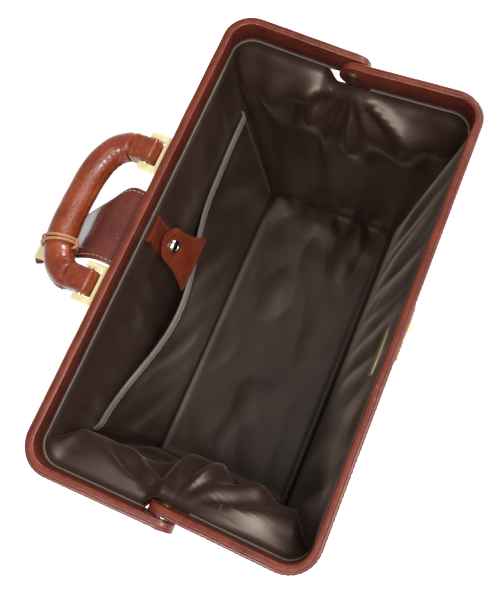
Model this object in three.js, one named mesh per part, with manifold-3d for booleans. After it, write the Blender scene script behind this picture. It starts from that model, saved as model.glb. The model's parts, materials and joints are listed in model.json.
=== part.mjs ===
// Leather doctor bag with a hinged steel frame, standing open.
// Millimetres, +Z up. The origin is the middle of the centre foot's underside.
// +X runs along the bag's length, +Y points to the rear half, which carries the handle.

import * as THREE from 'three';
import { mergeVertices } from 'three/addons/utils/BufferGeometryUtils.js';
import Module from 'manifold-3d';

const wasm = await Module();
wasm.setup();

// ---------- driving dimensions ----------

const FRAME_LENGTH = 400;        // rear half hoop, outside to outside
const STRIP_THICKNESS = 7;       // leather-covered strip of the frame
const STRIP_HEIGHT = 23;
const STEEL_THICKNESS = 3;
const STEEL_HEIGHT = 18;
const CORNER_RADIUS = 25;        // outside corner of the rear hoop
const ARM_REACH = 112;           // rivet axis to the outer face of the bar
const ARM_GAP = 1.6;             // between the nested arms
const WASHER_THICKNESS = 0.9;
const RIVET_RADIUS = 3;
const RIVET_HEAD_RADIUS = 6;
const RIVET_HEAD_HEIGHT = 1.9;

const RIVET_AXIS_HEIGHT = 268;   // above the ground with the bag open
const OPEN_TILT = 4;             // degrees that the open arms rise towards the bars
const SHUT_GAP = 1;              // from each rim to the middle plane when shut

const FOOT_HEIGHT = 8;
const FOOT_RADIUS = 7;
const FOOT_STEM_RADIUS = 1.6;
const FOOT_INSET = 24;           // from the corners of the base

const BASE_LENGTH = 352;
const BASE_WIDTH = 164;
const BASE_CORNER = 18;
const LEATHER = 2.5;
const BOARD = 3;
const CLOTH = 1.2;

const BASE_SIDE_INSET = 2;       // base's long edge to the hinge line of a wall
const BASE_END_INSET = 6;        // base's short edge to the end of a wall
const RIM_END_INSET = 8.9;       // front arm's inner face to the end of a wall at the rim
const WALL_LINE_Y = BASE_WIDTH / 2 - BASE_SIDE_INSET;
const WALL_LINE_Z = 11;
const WALL_BASE_HALF = BASE_LENGTH / 2 - BASE_END_INSET;
const WALL_TOP_HALF = FRAME_LENGTH / 2 - 2 * STRIP_THICKNESS - ARM_GAP - RIM_END_INSET;
const GUSSET_CLEARANCE = 1.6;
const GUSSET_DROP = 13.5;        // from the strips' lower edge down to the top of a gusset

const BRACKET_SPACING = 118;
const BRACKET_WIDTH = 33;
const BRACKET_BAR = 5;
const BRACKET_DEPTH = 6;
const BRACKET_LEG = 19;          // how far the legs stand out of the strip
const PIN_REACH = 15.5;          // strip to the handle's pin axis
const PIN_RADIUS = 2;
const BRACKET_RIVET_RADIUS = 1.6;
const BRACKET_RIVET_SPACING = 12;

const HANDLE_DROOP = 15;         // degrees below the frame's plane at rest
const HANDLE_REACH = 41;         // pin axis to the middle of the grip
const GRIP_RADIUS = 12;
const CAP_LENGTH = 13;           // pin axis to the seam between cap and grip
const HANDLE_ROPE_RADIUS = 2.6;

const LACE_RADIUS = 1.25;
const LACE_TURNS = 2;
const LACE_PITCH = 3.6;

const FLAP_BRACKET_GAP = 1.5;    // left bracket to the flap's root
const FLAP_ROOT_LEFT = FLAP_BRACKET_GAP - (BRACKET_SPACING - BRACKET_WIDTH) / 2;
const FLAP_ROOT_RIGHT = 25;      // from the middle of the bar
const FLAP_TUCK = 3;             // how far the root's outline starts inside the bar's face
const FLAP_THICKNESS = 2.4;
const HASP_LENGTH = 18;
const HASP_WIDTH = 13;
const HASP_THICKNESS = 1.6;
const HASP_PLACE = [-40.5, 83.2, -57.2];

const LOCK_PATCH_WIDTH = 50;
const LOCK_PATCH_HEIGHT = 62;
const LOCK_PATCH_THICKNESS = 4;
const LOCK_CASE_WIDTH = 34;
const LOCK_CASE_HEIGHT = 26;
const LOCK_CASE_DEPTH = 7;
const LOCK_BUTTON_RADIUS = 4.5;
const LOCK_BUTTON_STAND = 2.4;

const SLIP_POCKET_HEIGHT = 175;
const SLIP_POCKET_LOW = 12;      // its seam, above the hinge line
const SLIP_POCKET_INSET = 5;     // from the end of the wall
const SLIP_POCKET_GAPE = 20;     // how far its slack mouth stands out at the most
const SLIP_POCKET_GAPE_X = -45;  // where that is, and how far the slack reaches each way
const SLIP_POCKET_GAPE_REACH = 125;
const SLIP_POCKET_GAP = 3.5;     // at the ends of its mouth
const BINDING = 2.6;
const FRONT_POCKET_HEIGHT = 158;
const FRONT_POCKET_DEPTH = 12;
const FRONT_POCKET_LOW = 14;     // its lower edge, above the hinge line
const FRONT_POCKET_INSET = 4;    // from the end of the wall
const FRONT_POCKET_CORNER = 10;

const SNAP_X = 5;                // pocket strap and tab along the length
const STRAP_WIDTH = 24;
const STRAP_LENGTH = 52;
const STRAP_THICKNESS = 3;
const TAB_LENGTH = 56;
const TAB_ROOT_WIDTH = 56;
const TAB_TIP_WIDTH = 32;
const TAB_THICKNESS = 2.4;
const SNAP_RADIUS = 6;

const PLATE_LENGTH = 42;
const PLATE_HEIGHT = 13;
const PLATE_THICKNESS = 0.8;
const PLATE_X = -14;

const CLEAR = 0.3;               // gap between pieces that touch
const BORE_CLEAR = 0.3;

// ---------- worked-out dimensions ----------

const rad = THREE.MathUtils.degToRad;
const HALF_LENGTH = FRAME_LENGTH / 2;
const FRONT_HALF_LENGTH = HALF_LENGTH - STRIP_THICKNESS - ARM_GAP;
const FRONT_INNER = FRONT_HALF_LENGTH - STRIP_THICKNESS;
const BAR_MIDDLE = ARM_REACH - STRIP_THICKNESS / 2;
const CAP_RADIUS = PIN_REACH - CLEAR - BRACKET_BAR - 0.6;
const FLOOR_TOP = FOOT_HEIGHT + LEATHER + BOARD + CLOTH + 3 * CLEAR;

// Where the strip's lower edge stands for a given arm angle, from the rivet axis.
const edgeY = (angle) => BAR_MIDDLE * Math.cos(angle) + STRIP_HEIGHT / 2 * Math.sin(angle);
const edgeZ = (angle) => BAR_MIDDLE * Math.sin(angle) - STRIP_HEIGHT / 2 * Math.cos(angle);
const wallRise = RIVET_AXIS_HEIGHT + edgeZ(rad(OPEN_TILT)) - WALL_LINE_Z;
const wallSpread = edgeY(rad(OPEN_TILT)) - WALL_LINE_Y;
const WALL_LENGTH = Math.hypot(wallRise, wallSpread);
const OPEN_LEAN = Math.atan2(wallSpread, wallRise);

// Arm angle at which the rims meet, and the fold of each joint up to there.
const rimInner = ARM_REACH - STRIP_THICKNESS;
const SHUT_TILT = Math.acos(SHUT_GAP / Math.hypot(rimInner, STRIP_HEIGHT / 2))
  - Math.atan2(STRIP_HEIGHT / 2, rimInner);
const shutLean = Math.asin((WALL_LINE_Y - edgeY(SHUT_TILT)) / WALL_LENGTH);
const WALL_TRAVEL = OPEN_LEAN + shutLean;
const ARM_TRAVEL = SHUT_TILT - rad(OPEN_TILT);

const look = {
  leather: { color: 0x8a3420, roughness: 0.35, metalness: 0 },
  darkLeather: { color: 0x5c1f14, roughness: 0.4, metalness: 0 },
  lining: { color: 0x46403a, roughness: 0.6, metalness: 0 },
  binding: { color: 0x77736a, roughness: 0.7, metalness: 0 },
  brass: { color: 0xe6d69a, roughness: 0.25, metalness: 1 },
  steel: { color: 0x8d9094, roughness: 0.4, metalness: 1 },
  chrome: { color: 0xd5d7d9, roughness: 0.12, metalness: 1 },
  board: { color: 0x9a8468, roughness: 0.9, metalness: 0 },
  rope: { color: 0xb7a88a, roughness: 0.9, metalness: 0 },
  lace: { color: 0xc88c64, roughness: 0.55, metalness: 0 },
};

// ---------- tools for solids ----------

/** A closed three.js geometry as a manifold solid. */
function toSolid(geometry) {
  const plain = geometry.index ? geometry.toNonIndexed() : geometry.clone();
  plain.deleteAttribute('normal');
  plain.deleteAttribute('uv');
  const merged = mergeVertices(plain, 1e-4);
  return new wasm.Manifold(new wasm.Mesh({
    numProp: 3,
    vertProperties: Float32Array.from(merged.attributes.position.array),
    triVerts: Uint32Array.from(merged.index.array),
  }));
}

/** A manifold solid as a three.js geometry. */
function toGeometry(solid) {
  const { vertProperties, triVerts, numProp } = solid.getMesh();
  const geometry = new THREE.BufferGeometry();
  const positions = new Float32Array(vertProperties.length / numProp * 3);
  for (let i = 0; i < positions.length / 3; i += 1) {
    positions.set(vertProperties.subarray(i * numProp, i * numProp + 3), i * 3);
  }
  geometry.setAttribute('position', new THREE.BufferAttribute(positions, 3));
  geometry.setIndex(new THREE.BufferAttribute(Uint32Array.from(triVerts), 1));
  return geometry;
}

/** The first geometry with the others cut out of it. */
function cut(geometry, ...cutters) {
  let solid = toSolid(geometry);
  for (const cutter of cutters) solid = solid.subtract(toSolid(cutter));
  return toGeometry(solid);
}

/** The geometries joined into one body. */
function join(first, ...others) {
  let solid = toSolid(first);
  for (const other of others) solid = solid.add(toSolid(other));
  return toGeometry(solid);
}

/** What two geometries share. */
const common = (first, second) => toGeometry(toSolid(first).intersect(toSolid(second)));

/** A shape in the XY plane pulled along Z from low to high. */
function prism(shape, low, high, curveSegments = 6) {
  const options = { depth: high - low, bevelEnabled: false, curveSegments };
  return new THREE.ExtrudeGeometry(shape, options).translate(0, 0, low);
}

/** An axis-aligned block between two corners. */
function block(low, high) {
  const size = high.map((value, i) => value - low[i]);
  const middle = high.map((value, i) => (value + low[i]) / 2);
  return new THREE.BoxGeometry(...size).translate(...middle);
}

/** A cylinder along X between two places. */
function rodX(radius, from, to, y = 0, z = 0, sides = 16) {
  const rod = new THREE.CylinderGeometry(radius, radius, Math.abs(to - from), sides);
  return rod.rotateZ(Math.PI / 2).translate((from + to) / 2, y, z);
}

/** A cylinder along Y between two places. */
function rodY(radius, from, to, x = 0, z = 0, sides = 16) {
  const rod = new THREE.CylinderGeometry(radius, radius, Math.abs(to - from), sides);
  return rod.translate(x, (from + to) / 2, z);
}

/** A cylinder along Z between two places. */
function rodZ(radius, from, to, x = 0, y = 0, sides = 16) {
  const rod = new THREE.CylinderGeometry(radius, radius, Math.abs(to - from), sides);
  return rod.rotateX(Math.PI / 2).translate(x, y, (from + to) / 2);
}

/** A rectangle with round corners, centred on the origin. */
function roundedRectangle(length, width, radius) {
  const a = length / 2;
  const b = width / 2;
  const shape = new THREE.Shape();
  shape.moveTo(-a + radius, -b);
  shape.lineTo(a - radius, -b);
  shape.absarc(a - radius, -b + radius, radius, -Math.PI / 2, 0);
  shape.lineTo(a, b - radius);
  shape.absarc(a - radius, b - radius, radius, 0, Math.PI / 2);
  shape.lineTo(-a + radius, b);
  shape.absarc(-a + radius, b - radius, radius, Math.PI / 2, Math.PI);
  shape.lineTo(-a, -b + radius);
  shape.absarc(-a + radius, -b + radius, radius, Math.PI, Math.PI * 1.5);
  return shape;
}

/** A shape through a list of corners. */
const polygon = (corners) => new THREE.Shape(corners.map(([x, y]) => new THREE.Vector2(x, y)));

/** A domed head: a lathe about Y with its flat side at y = 0. */
function dome(radius, height, sides = 16) {
  const profile = [new THREE.Vector2(0, 0), new THREE.Vector2(radius, 0)];
  for (let i = 1; i <= 4; i += 1) {
    const angle = i / 4 * Math.PI / 2;
    const reach = i === 4 ? 0 : radius * Math.cos(angle);
    profile.push(new THREE.Vector2(reach, height * Math.sin(angle)));
  }
  return new THREE.LatheGeometry(profile, sides);
}

const bag = new THREE.Group();

/** A named sub-part in its group. */
function add(parent, name, geometry, finish) {
  const mesh = new THREE.Mesh(geometry, new THREE.MeshStandardMaterial(look[finish]));
  mesh.name = name;
  parent.add(mesh);
  return mesh;
}

/** A group at a place, turned about X by an angle in radians. */
function place(parent, y, z, turn = 0) {
  const group = new THREE.Group();
  group.position.set(0, y, z);
  group.rotation.x = turn;
  parent.add(group);
  return group;
}

const sides = [['left', -1], ['right', 1]];

// ---------- base and feet ----------

const footX = BASE_LENGTH / 2 - FOOT_INSET;
const footY = BASE_WIDTH / 2 - FOOT_INSET;
const feet = [[0, 0], [-footX, -footY], [footX, -footY], [-footX, footY], [footX, footY]];

/** Base leather, stiffening board, floor lining and studs. */
function addBase() {
  const leatherTop = FOOT_HEIGHT + CLEAR + LEATHER;
  const boardLow = leatherTop + CLEAR;
  const boardTop = boardLow + BOARD;
  const holes = feet.map(([x, y]) => rodZ(FOOT_STEM_RADIUS + BORE_CLEAR, 0, 30, x, y, 12));
  const inset = BASE_WIDTH / 2 - WALL_LINE_Y + LEATHER + CLOTH;
  const leather = roundedRectangle(BASE_LENGTH, BASE_WIDTH, BASE_CORNER);
  const board = roundedRectangle(BASE_LENGTH - 2 * inset, BASE_WIDTH - 2 * inset, BASE_CORNER);
  add(bag, 'base_leather', cut(prism(leather, FOOT_HEIGHT + CLEAR, leatherTop), ...holes), 'leather');
  add(bag, 'base_board', cut(prism(board, boardLow, boardTop), ...holes), 'board');
  add(bag, 'floor_lining', prism(board, boardTop + CLEAR, FLOOR_TOP + CLEAR), 'lining');
  feet.forEach(([x, y], i) => {
    const profile = [[0, 0], [4, 0], [6.2, 1.6], [FOOT_RADIUS, 4.2], [FOOT_RADIUS, FOOT_HEIGHT],
      [FOOT_STEM_RADIUS, FOOT_HEIGHT], [FOOT_STEM_RADIUS, boardTop], [0, boardTop]];
    const points = profile.map(([r, z]) => new THREE.Vector2(r, z));
    const stud = new THREE.LatheGeometry(points, 16).rotateX(Math.PI / 2);
    add(bag, `foot_${i + 1}`, stud.translate(x, y, 0), 'brass');
  });
}

// ---------- gussets ----------

/** The end panels, each with its lining, between the two walls. */
function addGussets() {
  const low = FLOOR_TOP + 2;
  const high = RIVET_AXIS_HEIGHT - STRIP_HEIGHT / 2 - GUSSET_DROP;
  const run = Math.atan2(WALL_TOP_HALF - WALL_BASE_HALF, WALL_LENGTH);
  const halfAt = (z, margin) => WALL_LINE_Y + (z - WALL_LINE_Z) * Math.tan(OPEN_LEAN) - margin;
  const outline = (margin) => polygon([
    [-halfAt(low, margin), low - WALL_LINE_Z], [halfAt(low, margin), low - WALL_LINE_Z],
    [halfAt(high, margin), high - WALL_LINE_Z], [-halfAt(high, margin), high - WALL_LINE_Z],
  ]);
  for (const [side, sign] of sides) {
    const end = new THREE.Group();
    end.position.set(sign * (WALL_BASE_HALF + GUSSET_CLEARANCE), 0, WALL_LINE_Z);
    end.rotation.y = sign * run;
    bag.add(end);
    const upright = (shape, from, to) => prism(shape, Math.min(sign * from, sign * to),
      Math.max(sign * from, sign * to)).rotateX(Math.PI / 2).rotateZ(Math.PI / 2);
    add(end, `gusset_lining_${side}`, upright(outline(CLOTH), 0, CLOTH), 'lining');
    const outer = CLOTH + CLEAR;
    add(end, `gusset_leather_${side}`, upright(outline(0), outer, outer + LEATHER), 'leather');
  }
}

// ---------- walls ----------

/** The outline of a wall: from low to high along it, in its own plane. */
function wallOutline(low, high, margin) {
  const halfAt = (u) => WALL_BASE_HALF + (WALL_TOP_HALF - WALL_BASE_HALF) * u / WALL_LENGTH - margin;
  return polygon([[-halfAt(low), low], [halfAt(low), low], [halfAt(high), high], [-halfAt(high), high]]);
}

/** An outline in (x, u) pulled through a range of v, with u up and v outwards. */
function sheet(shape, from, to, segments = 6) {
  return prism(shape, -to, -from, segments).rotateX(Math.PI / 2);
}

const WALL_TOP = WALL_LENGTH - 5;
const LINING_INNER = -(CLEAR + CLOTH);
const PANEL_OUTER = CLEAR + LEATHER;

/** Leather panel and lining, the same on both long sides. */
function addWall(wall, name) {
  add(wall, `${name}_panel`, sheet(wallOutline(3.5, WALL_TOP, 0), CLEAR, PANEL_OUTER), 'leather');
  add(wall, `${name}_lining`, sheet(wallOutline(7, WALL_TOP - 1, 1), LINING_INNER, -CLEAR), 'lining');
}

/** How far the slip pocket's front stands off the wall at a place along it. */
function gapeAt(x) {
  const share = Math.min(1, Math.abs(x - SLIP_POCKET_GAPE_X) / SLIP_POCKET_GAPE_REACH);
  return SLIP_POCKET_GAP + SLIP_POCKET_GAPE * Math.cos(Math.PI / 2 * share) ** 2;
}

/** A curved band following the slip pocket's front, in the (x, v) plane. */
function pocketBand(offset, thickness) {
  const steps = 16;
  const reach = WALL_BASE_HALF - SLIP_POCKET_INSET;
  const inner = [];
  const outer = [];
  for (let i = 0; i <= steps; i += 1) {
    const x = -reach + 2 * reach * i / steps;
    const v = LINING_INNER - gapeAt(x) - offset;
    inner.push([x, v]);
    outer.unshift([x, v - thickness]);
  }
  return polygon([...inner, ...outer]);
}

/** Slip pocket, its bound mouth, and the strap that its tab snaps on. */
function addSlipPocket(wall) {
  const half = WALL_BASE_HALF - SLIP_POCKET_INSET;
  const deep = LINING_INNER - SLIP_POCKET_GAP - CLOTH / 2;
  const near = LINING_INNER - CLEAR;
  const floor = polygon([[-half, near], [half, near], [half, deep], [-half, deep]]);
  const band = prism(pocketBand(0, CLOTH), SLIP_POCKET_LOW, SLIP_POCKET_HEIGHT - BINDING - CLEAR);
  const seam = prism(floor, SLIP_POCKET_LOW, SLIP_POCKET_LOW + CLOTH + CLEAR);
  add(wall, 'slip_pocket', join(band, seam), 'lining');
  const rim = prism(pocketBand(CLOTH / 2 - BINDING / 2, BINDING), SLIP_POCKET_HEIGHT - BINDING,
    SLIP_POCKET_HEIGHT);
  add(wall, 'pocket_binding', rim, 'binding');

  const top = WALL_TOP - 2;
  const strap = block([SNAP_X - STRAP_WIDTH / 2, LINING_INNER - CLEAR - STRAP_THICKNESS, top - STRAP_LENGTH],
    [SNAP_X + STRAP_WIDTH / 2, LINING_INNER - CLEAR, top]);
  add(wall, 'pocket_strap', strap, 'leather');
  const stud = dome(SNAP_RADIUS * 0.6, 1.6).rotateZ(Math.PI);
  const studFace = LINING_INNER - 2 * CLEAR - STRAP_THICKNESS;
  add(wall, 'snap_stud', stud.translate(SNAP_X, studFace, top - STRAP_LENGTH + 10), 'chrome');
}

/** The tab that closes the slip pocket, turning at the pocket's mouth. */
function addSnapTab(wall) {
  const rootV = LINING_INNER - gapeAt(SNAP_X) - CLOTH - CLEAR;
  const tab = place(wall, rootV, SLIP_POCKET_HEIGHT + CLEAR, rad(TAB_SLANT));
  const tip = TAB_TIP_WIDTH / 2;
  const root = TAB_ROOT_WIDTH / 2;
  const shape = new THREE.Shape();
  shape.moveTo(-root, 1);
  shape.quadraticCurveTo(-tip, TAB_LENGTH * 0.35, -tip, TAB_LENGTH - tip);
  shape.absarc(0, TAB_LENGTH - tip, tip, Math.PI, 0, true);
  shape.quadraticCurveTo(tip, TAB_LENGTH * 0.35, root, 1);
  const leather = sheet(shape, -TAB_THICKNESS, 0).translate(SNAP_X, 0, 0);
  add(tab, 'snap_tab', leather, 'leather');
  const cap = dome(SNAP_RADIUS, 2.4).rotateZ(Math.PI);
  add(tab, 'snap_cap', cap.translate(SNAP_X, -TAB_THICKNESS - CLEAR, TAB_LENGTH - tip), 'chrome');
}

const strapFace = LINING_INNER - CLEAR - STRAP_THICKNESS;
const tabRise = LINING_INNER - gapeAt(SNAP_X) - CLOTH - CLEAR - (strapFace - 2.6);
const TAB_SLANT = THREE.MathUtils.radToDeg(Math.asin(tabRise / TAB_LENGTH));

/** Outside pocket on the front: a shallow tray, open at its top. */
function addFrontPocket(wall) {
  const half = WALL_BASE_HALF - FRONT_POCKET_INSET;
  const corner = FRONT_POCKET_CORNER;
  const low = FRONT_POCKET_LOW;
  const high = low + FRONT_POCKET_HEIGHT;
  const shell = prism(roundedTray(half, FRONT_POCKET_DEPTH, corner), low, high);
  const inner = prism(roundedTray(half - LEATHER, FRONT_POCKET_DEPTH - LEATHER, corner - 2), low + LEATHER,
    high + corner);
  const shift = PANEL_OUTER + CLEAR;
  const hollow = cut(shell, inner.translate(0, -1, 0));
  add(wall, 'front_pocket', hollow.translate(0, shift, 0), 'leather');
}

/** The plan of a tray lying on a wall: straight back, round front corners. */
function roundedTray(half, depth, radius) {
  const shape = new THREE.Shape();
  shape.moveTo(-half, 0);
  shape.lineTo(half, 0);
  shape.lineTo(half, depth - radius);
  shape.absarc(half - radius, depth - radius, radius, 0, Math.PI / 2);
  shape.lineTo(-half + radius, depth);
  shape.absarc(-half + radius, depth - radius, radius, Math.PI / 2, Math.PI);
  return shape;
}

/** Lock patch, case, button and keyhole plate, high on the front. */
function addLock(wall) {
  const top = WALL_TOP - 2;
  const patch = block([-LOCK_PATCH_WIDTH / 2, PANEL_OUTER + CLEAR, top - LOCK_PATCH_HEIGHT],
    [LOCK_PATCH_WIDTH / 2, PANEL_OUTER + CLEAR + LOCK_PATCH_THICKNESS, top]);
  add(wall, 'lock_patch', patch, 'leather');
  const back = PANEL_OUTER + 2 * CLEAR + LOCK_PATCH_THICKNESS;
  const face = back + LOCK_CASE_DEPTH;
  const middle = top - LOCK_PATCH_HEIGHT * 0.55;
  const low = middle - LOCK_CASE_HEIGHT / 2;
  const caseBody = block([-LOCK_CASE_WIDTH / 2, back, low],
    [LOCK_CASE_WIDTH / 2, face, low + LOCK_CASE_HEIGHT]);
  const buttonZ = low + LOCK_CASE_HEIGHT * 0.28;
  const pocket = rodY(LOCK_BUTTON_RADIUS + BORE_CLEAR, back + 1.5, face + 5, 0, buttonZ, 20);
  const slot = block([-HASP_WIDTH / 2 - 1, face - 3.2, low + LOCK_CASE_HEIGHT * 0.56],
    [HASP_WIDTH / 2 + 1, face + 5, low + LOCK_CASE_HEIGHT * 0.8]);
  add(wall, 'lock_case', cut(caseBody, pocket, slot), 'brass');
  const travel = LOCK_BUTTON_STAND - 0.4;
  const buttonBack = back + 1.5 + travel + CLEAR;
  const button = rodY(LOCK_BUTTON_RADIUS, buttonBack, face + LOCK_BUTTON_STAND, 0, buttonZ, 20);
  add(wall, 'lock_button', button, 'brass');
}

/** Blank plate sewn to the front lining. */
function addInnerPlate(wall) {
  const low = WALL_TOP - 44;
  const middle = -PLATE_X;
  const plate = block([middle - PLATE_LENGTH / 2, LINING_INNER - CLEAR - PLATE_THICKNESS, low],
    [middle + PLATE_LENGTH / 2, LINING_INNER - CLEAR, low + PLATE_HEIGHT]);
  add(wall, 'inner_plate', plate, 'brass');
}

// ---------- frame ----------

/** Plan of a half hoop: a U of one width, arms running back to armEnd. */
function hoop(halfLength, reach, width, armEnd, corner) {
  const inside = corner - width;
  const shape = new THREE.Shape();
  shape.moveTo(-halfLength, armEnd);
  shape.lineTo(-halfLength + width, armEnd);
  shape.lineTo(-halfLength + width, reach - corner);
  shape.absarc(-halfLength + corner, reach - corner, inside, Math.PI, Math.PI / 2, true);
  shape.lineTo(halfLength - corner, reach - width);
  shape.absarc(halfLength - corner, reach - corner, inside, Math.PI / 2, 0, true);
  shape.lineTo(halfLength - width, armEnd);
  shape.lineTo(halfLength, armEnd);
  shape.lineTo(halfLength, reach - corner);
  shape.absarc(halfLength - corner, reach - corner, corner, 0, Math.PI / 2);
  shape.lineTo(-halfLength + corner, reach);
  shape.absarc(-halfLength + corner, reach - corner, corner, Math.PI / 2, Math.PI);
  return shape;
}

/** Side view of an arm, round about the rivet axis, pulled across the whole frame. */
function armProfile(radius) {
  const shape = new THREE.Shape();
  shape.moveTo(ARM_REACH + 1, -radius);
  shape.lineTo(ARM_REACH + 1, radius);
  shape.lineTo(0, radius);
  shape.absarc(0, 0, radius, Math.PI / 2, Math.PI * 1.5);
  return prism(shape, -HALF_LENGTH - 5, HALF_LENGTH + 5, 8).rotateX(Math.PI / 2).rotateZ(Math.PI / 2);
}

/** Leather cover and steel strip of one half, with its rivets. */
function addFrameHalf(frame, name, halfLength, rivetHead) {
  const half = STRIP_HEIGHT / 2;
  const skin = (STRIP_THICKNESS - STEEL_THICKNESS) / 2;
  const steelLow = -half + 1.5;
  const outline = hoop(halfLength, ARM_REACH, STRIP_THICKNESS, -half - 1, CORNER_RADIUS);
  const body = common(prism(outline, -half, half), armProfile(half));
  const slotOutline = hoop(halfLength - skin + CLEAR, ARM_REACH - skin + CLEAR,
    STEEL_THICKNESS + 2 * CLEAR, -9, CORNER_RADIUS - skin + CLEAR);
  const steelOutline = hoop(halfLength - skin, ARM_REACH - skin, STEEL_THICKNESS, -8, CORNER_RADIUS - skin);
  const slot = common(prism(slotOutline, -half - 1, steelLow + STEEL_HEIGHT + CLEAR), armProfile(half + 2));
  const bore = rodX(RIVET_RADIUS + BORE_CLEAR, -HALF_LENGTH - 5, HALF_LENGTH + 5);
  const posts = name === 'rear' ? bracketRivets(BRACKET_RIVET_RADIUS + BORE_CLEAR) : [];
  add(frame, `${name}_frame_leather`, cut(body, slot, bore, ...posts), 'leather');
  const steel = prism(steelOutline, steelLow, steelLow + STEEL_HEIGHT);
  add(frame, `${name}_frame_steel`, cut(steel, bore, ...posts), 'steel');
  for (const [side, sign] of sides) {
    const outer = halfLength;
    const inner = halfLength - STRIP_THICKNESS;
    const shank = rodX(RIVET_RADIUS, sign * inner, sign * outer);
    const headAt = rivetHead > 0 ? outer + CLEAR : inner - CLEAR;
    const head = dome(RIVET_HEAD_RADIUS, RIVET_HEAD_HEIGHT).rotateZ(-Math.PI / 2 * sign * rivetHead);
    const neck = rodX(RIVET_RADIUS, sign * headAt - 0.5, sign * headAt + 0.5);
    add(frame, `${name}_rivet_${side}`, join(head.translate(sign * headAt, 0, 0), neck, shank), 'brass');
  }
}

/** Washers between the nested arms. */
function addWashers(frame) {
  for (const [side, sign] of sides) {
    const inner = HALF_LENGTH - STRIP_THICKNESS - CLEAR - WASHER_THICKNESS;
    const ring = rodX(RIVET_HEAD_RADIUS + 1, sign * inner, sign * (inner + WASHER_THICKNESS));
    const bore = rodX(RIVET_RADIUS + BORE_CLEAR, sign * (inner - 1), sign * (inner + 3));
    add(frame, `hinge_washer_${side}`, cut(ring, bore), 'steel');
  }
}

const STEEL_FACE = ARM_REACH - STRIP_THICKNESS / 2 - STEEL_THICKNESS / 2;

/** The rivets that hold the brackets, or the holes for them. */
function bracketRivets(radius, from = STEEL_FACE, to = ARM_REACH + 9) {
  const rods = [];
  for (const [, sign] of sides) {
    for (const step of [-0.5, 0.5]) {
      const x = sign * BRACKET_SPACING / 2 + step * BRACKET_RIVET_SPACING;
      rods.push(rodY(radius, from, to, x, 0, 12));
    }
  }
  return rods;
}

/** Square-bar U brackets with their pins and rivets. */
function addBrackets(frame) {
  const back = ARM_REACH + CLEAR;
  const inner = BRACKET_WIDTH / 2 - BRACKET_BAR;
  for (const [side, sign] of sides) {
    const x = sign * BRACKET_SPACING / 2;
    const outline = polygon([[-BRACKET_WIDTH / 2, back], [BRACKET_WIDTH / 2, back],
      [BRACKET_WIDTH / 2, back + BRACKET_LEG], [inner, back + BRACKET_LEG], [inner, back + BRACKET_BAR],
      [-inner, back + BRACKET_BAR], [-inner, back + BRACKET_LEG], [-BRACKET_WIDTH / 2, back + BRACKET_LEG]]);
    const body = prism(outline, -BRACKET_DEPTH / 2, BRACKET_DEPTH / 2).translate(x, 0, 0);
    const bore = rodX(PIN_RADIUS + BORE_CLEAR, x - BRACKET_WIDTH, x + BRACKET_WIDTH, ARM_REACH + PIN_REACH);
    const posts = bracketRivets(BRACKET_RIVET_RADIUS + BORE_CLEAR);
    add(frame, `handle_bracket_${side}`, cut(body, bore, ...posts), 'brass');
    const pin = rodX(PIN_RADIUS, x - BRACKET_WIDTH / 2, x + BRACKET_WIDTH / 2, ARM_REACH + PIN_REACH);
    add(frame, `handle_pin_${side}`, pin, 'brass');
  }
  bracketRivets(BRACKET_RIVET_RADIUS, STEEL_FACE, back + BRACKET_BAR).forEach((post, i) => {
    add(frame, `bracket_rivet_${i + 1}`, post, 'brass');
  });
}

// ---------- handle ----------

/** The grip's centre line, in the handle's own plane. */
function gripLine() {
  const half = BRACKET_SPACING / 2;
  const knots = [[-half, CAP_LENGTH - 3], [-half + 0.5, CAP_LENGTH + 6], [-half + 9, HANDLE_REACH - 10],
    [-half + 27.5, HANDLE_REACH - 2], [0, HANDLE_REACH]];
  const mirrored = knots.slice(0, -1).reverse().map(([x, y]) => [-x, y]);
  return new THREE.CatmullRomCurve3([...knots, ...mirrored].map(([x, y]) => new THREE.Vector3(x, y, 0)));
}

/** A disc, or a ring if it has an inner radius. */
function disc(radius, inner, count) {
  const circle = (r, n) => {
    const corners = [];
    for (let i = 0; i < n; i += 1) {
      const angle = i / n * 2 * Math.PI;
      corners.push(new THREE.Vector2(r * Math.cos(angle), r * Math.sin(angle)));
    }
    return corners;
  };
  const shape = new THREE.Shape(circle(radius, count));
  if (inner > 0) shape.holes.push(new THREE.Path(circle(inner, 8)));
  return shape;
}

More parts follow.
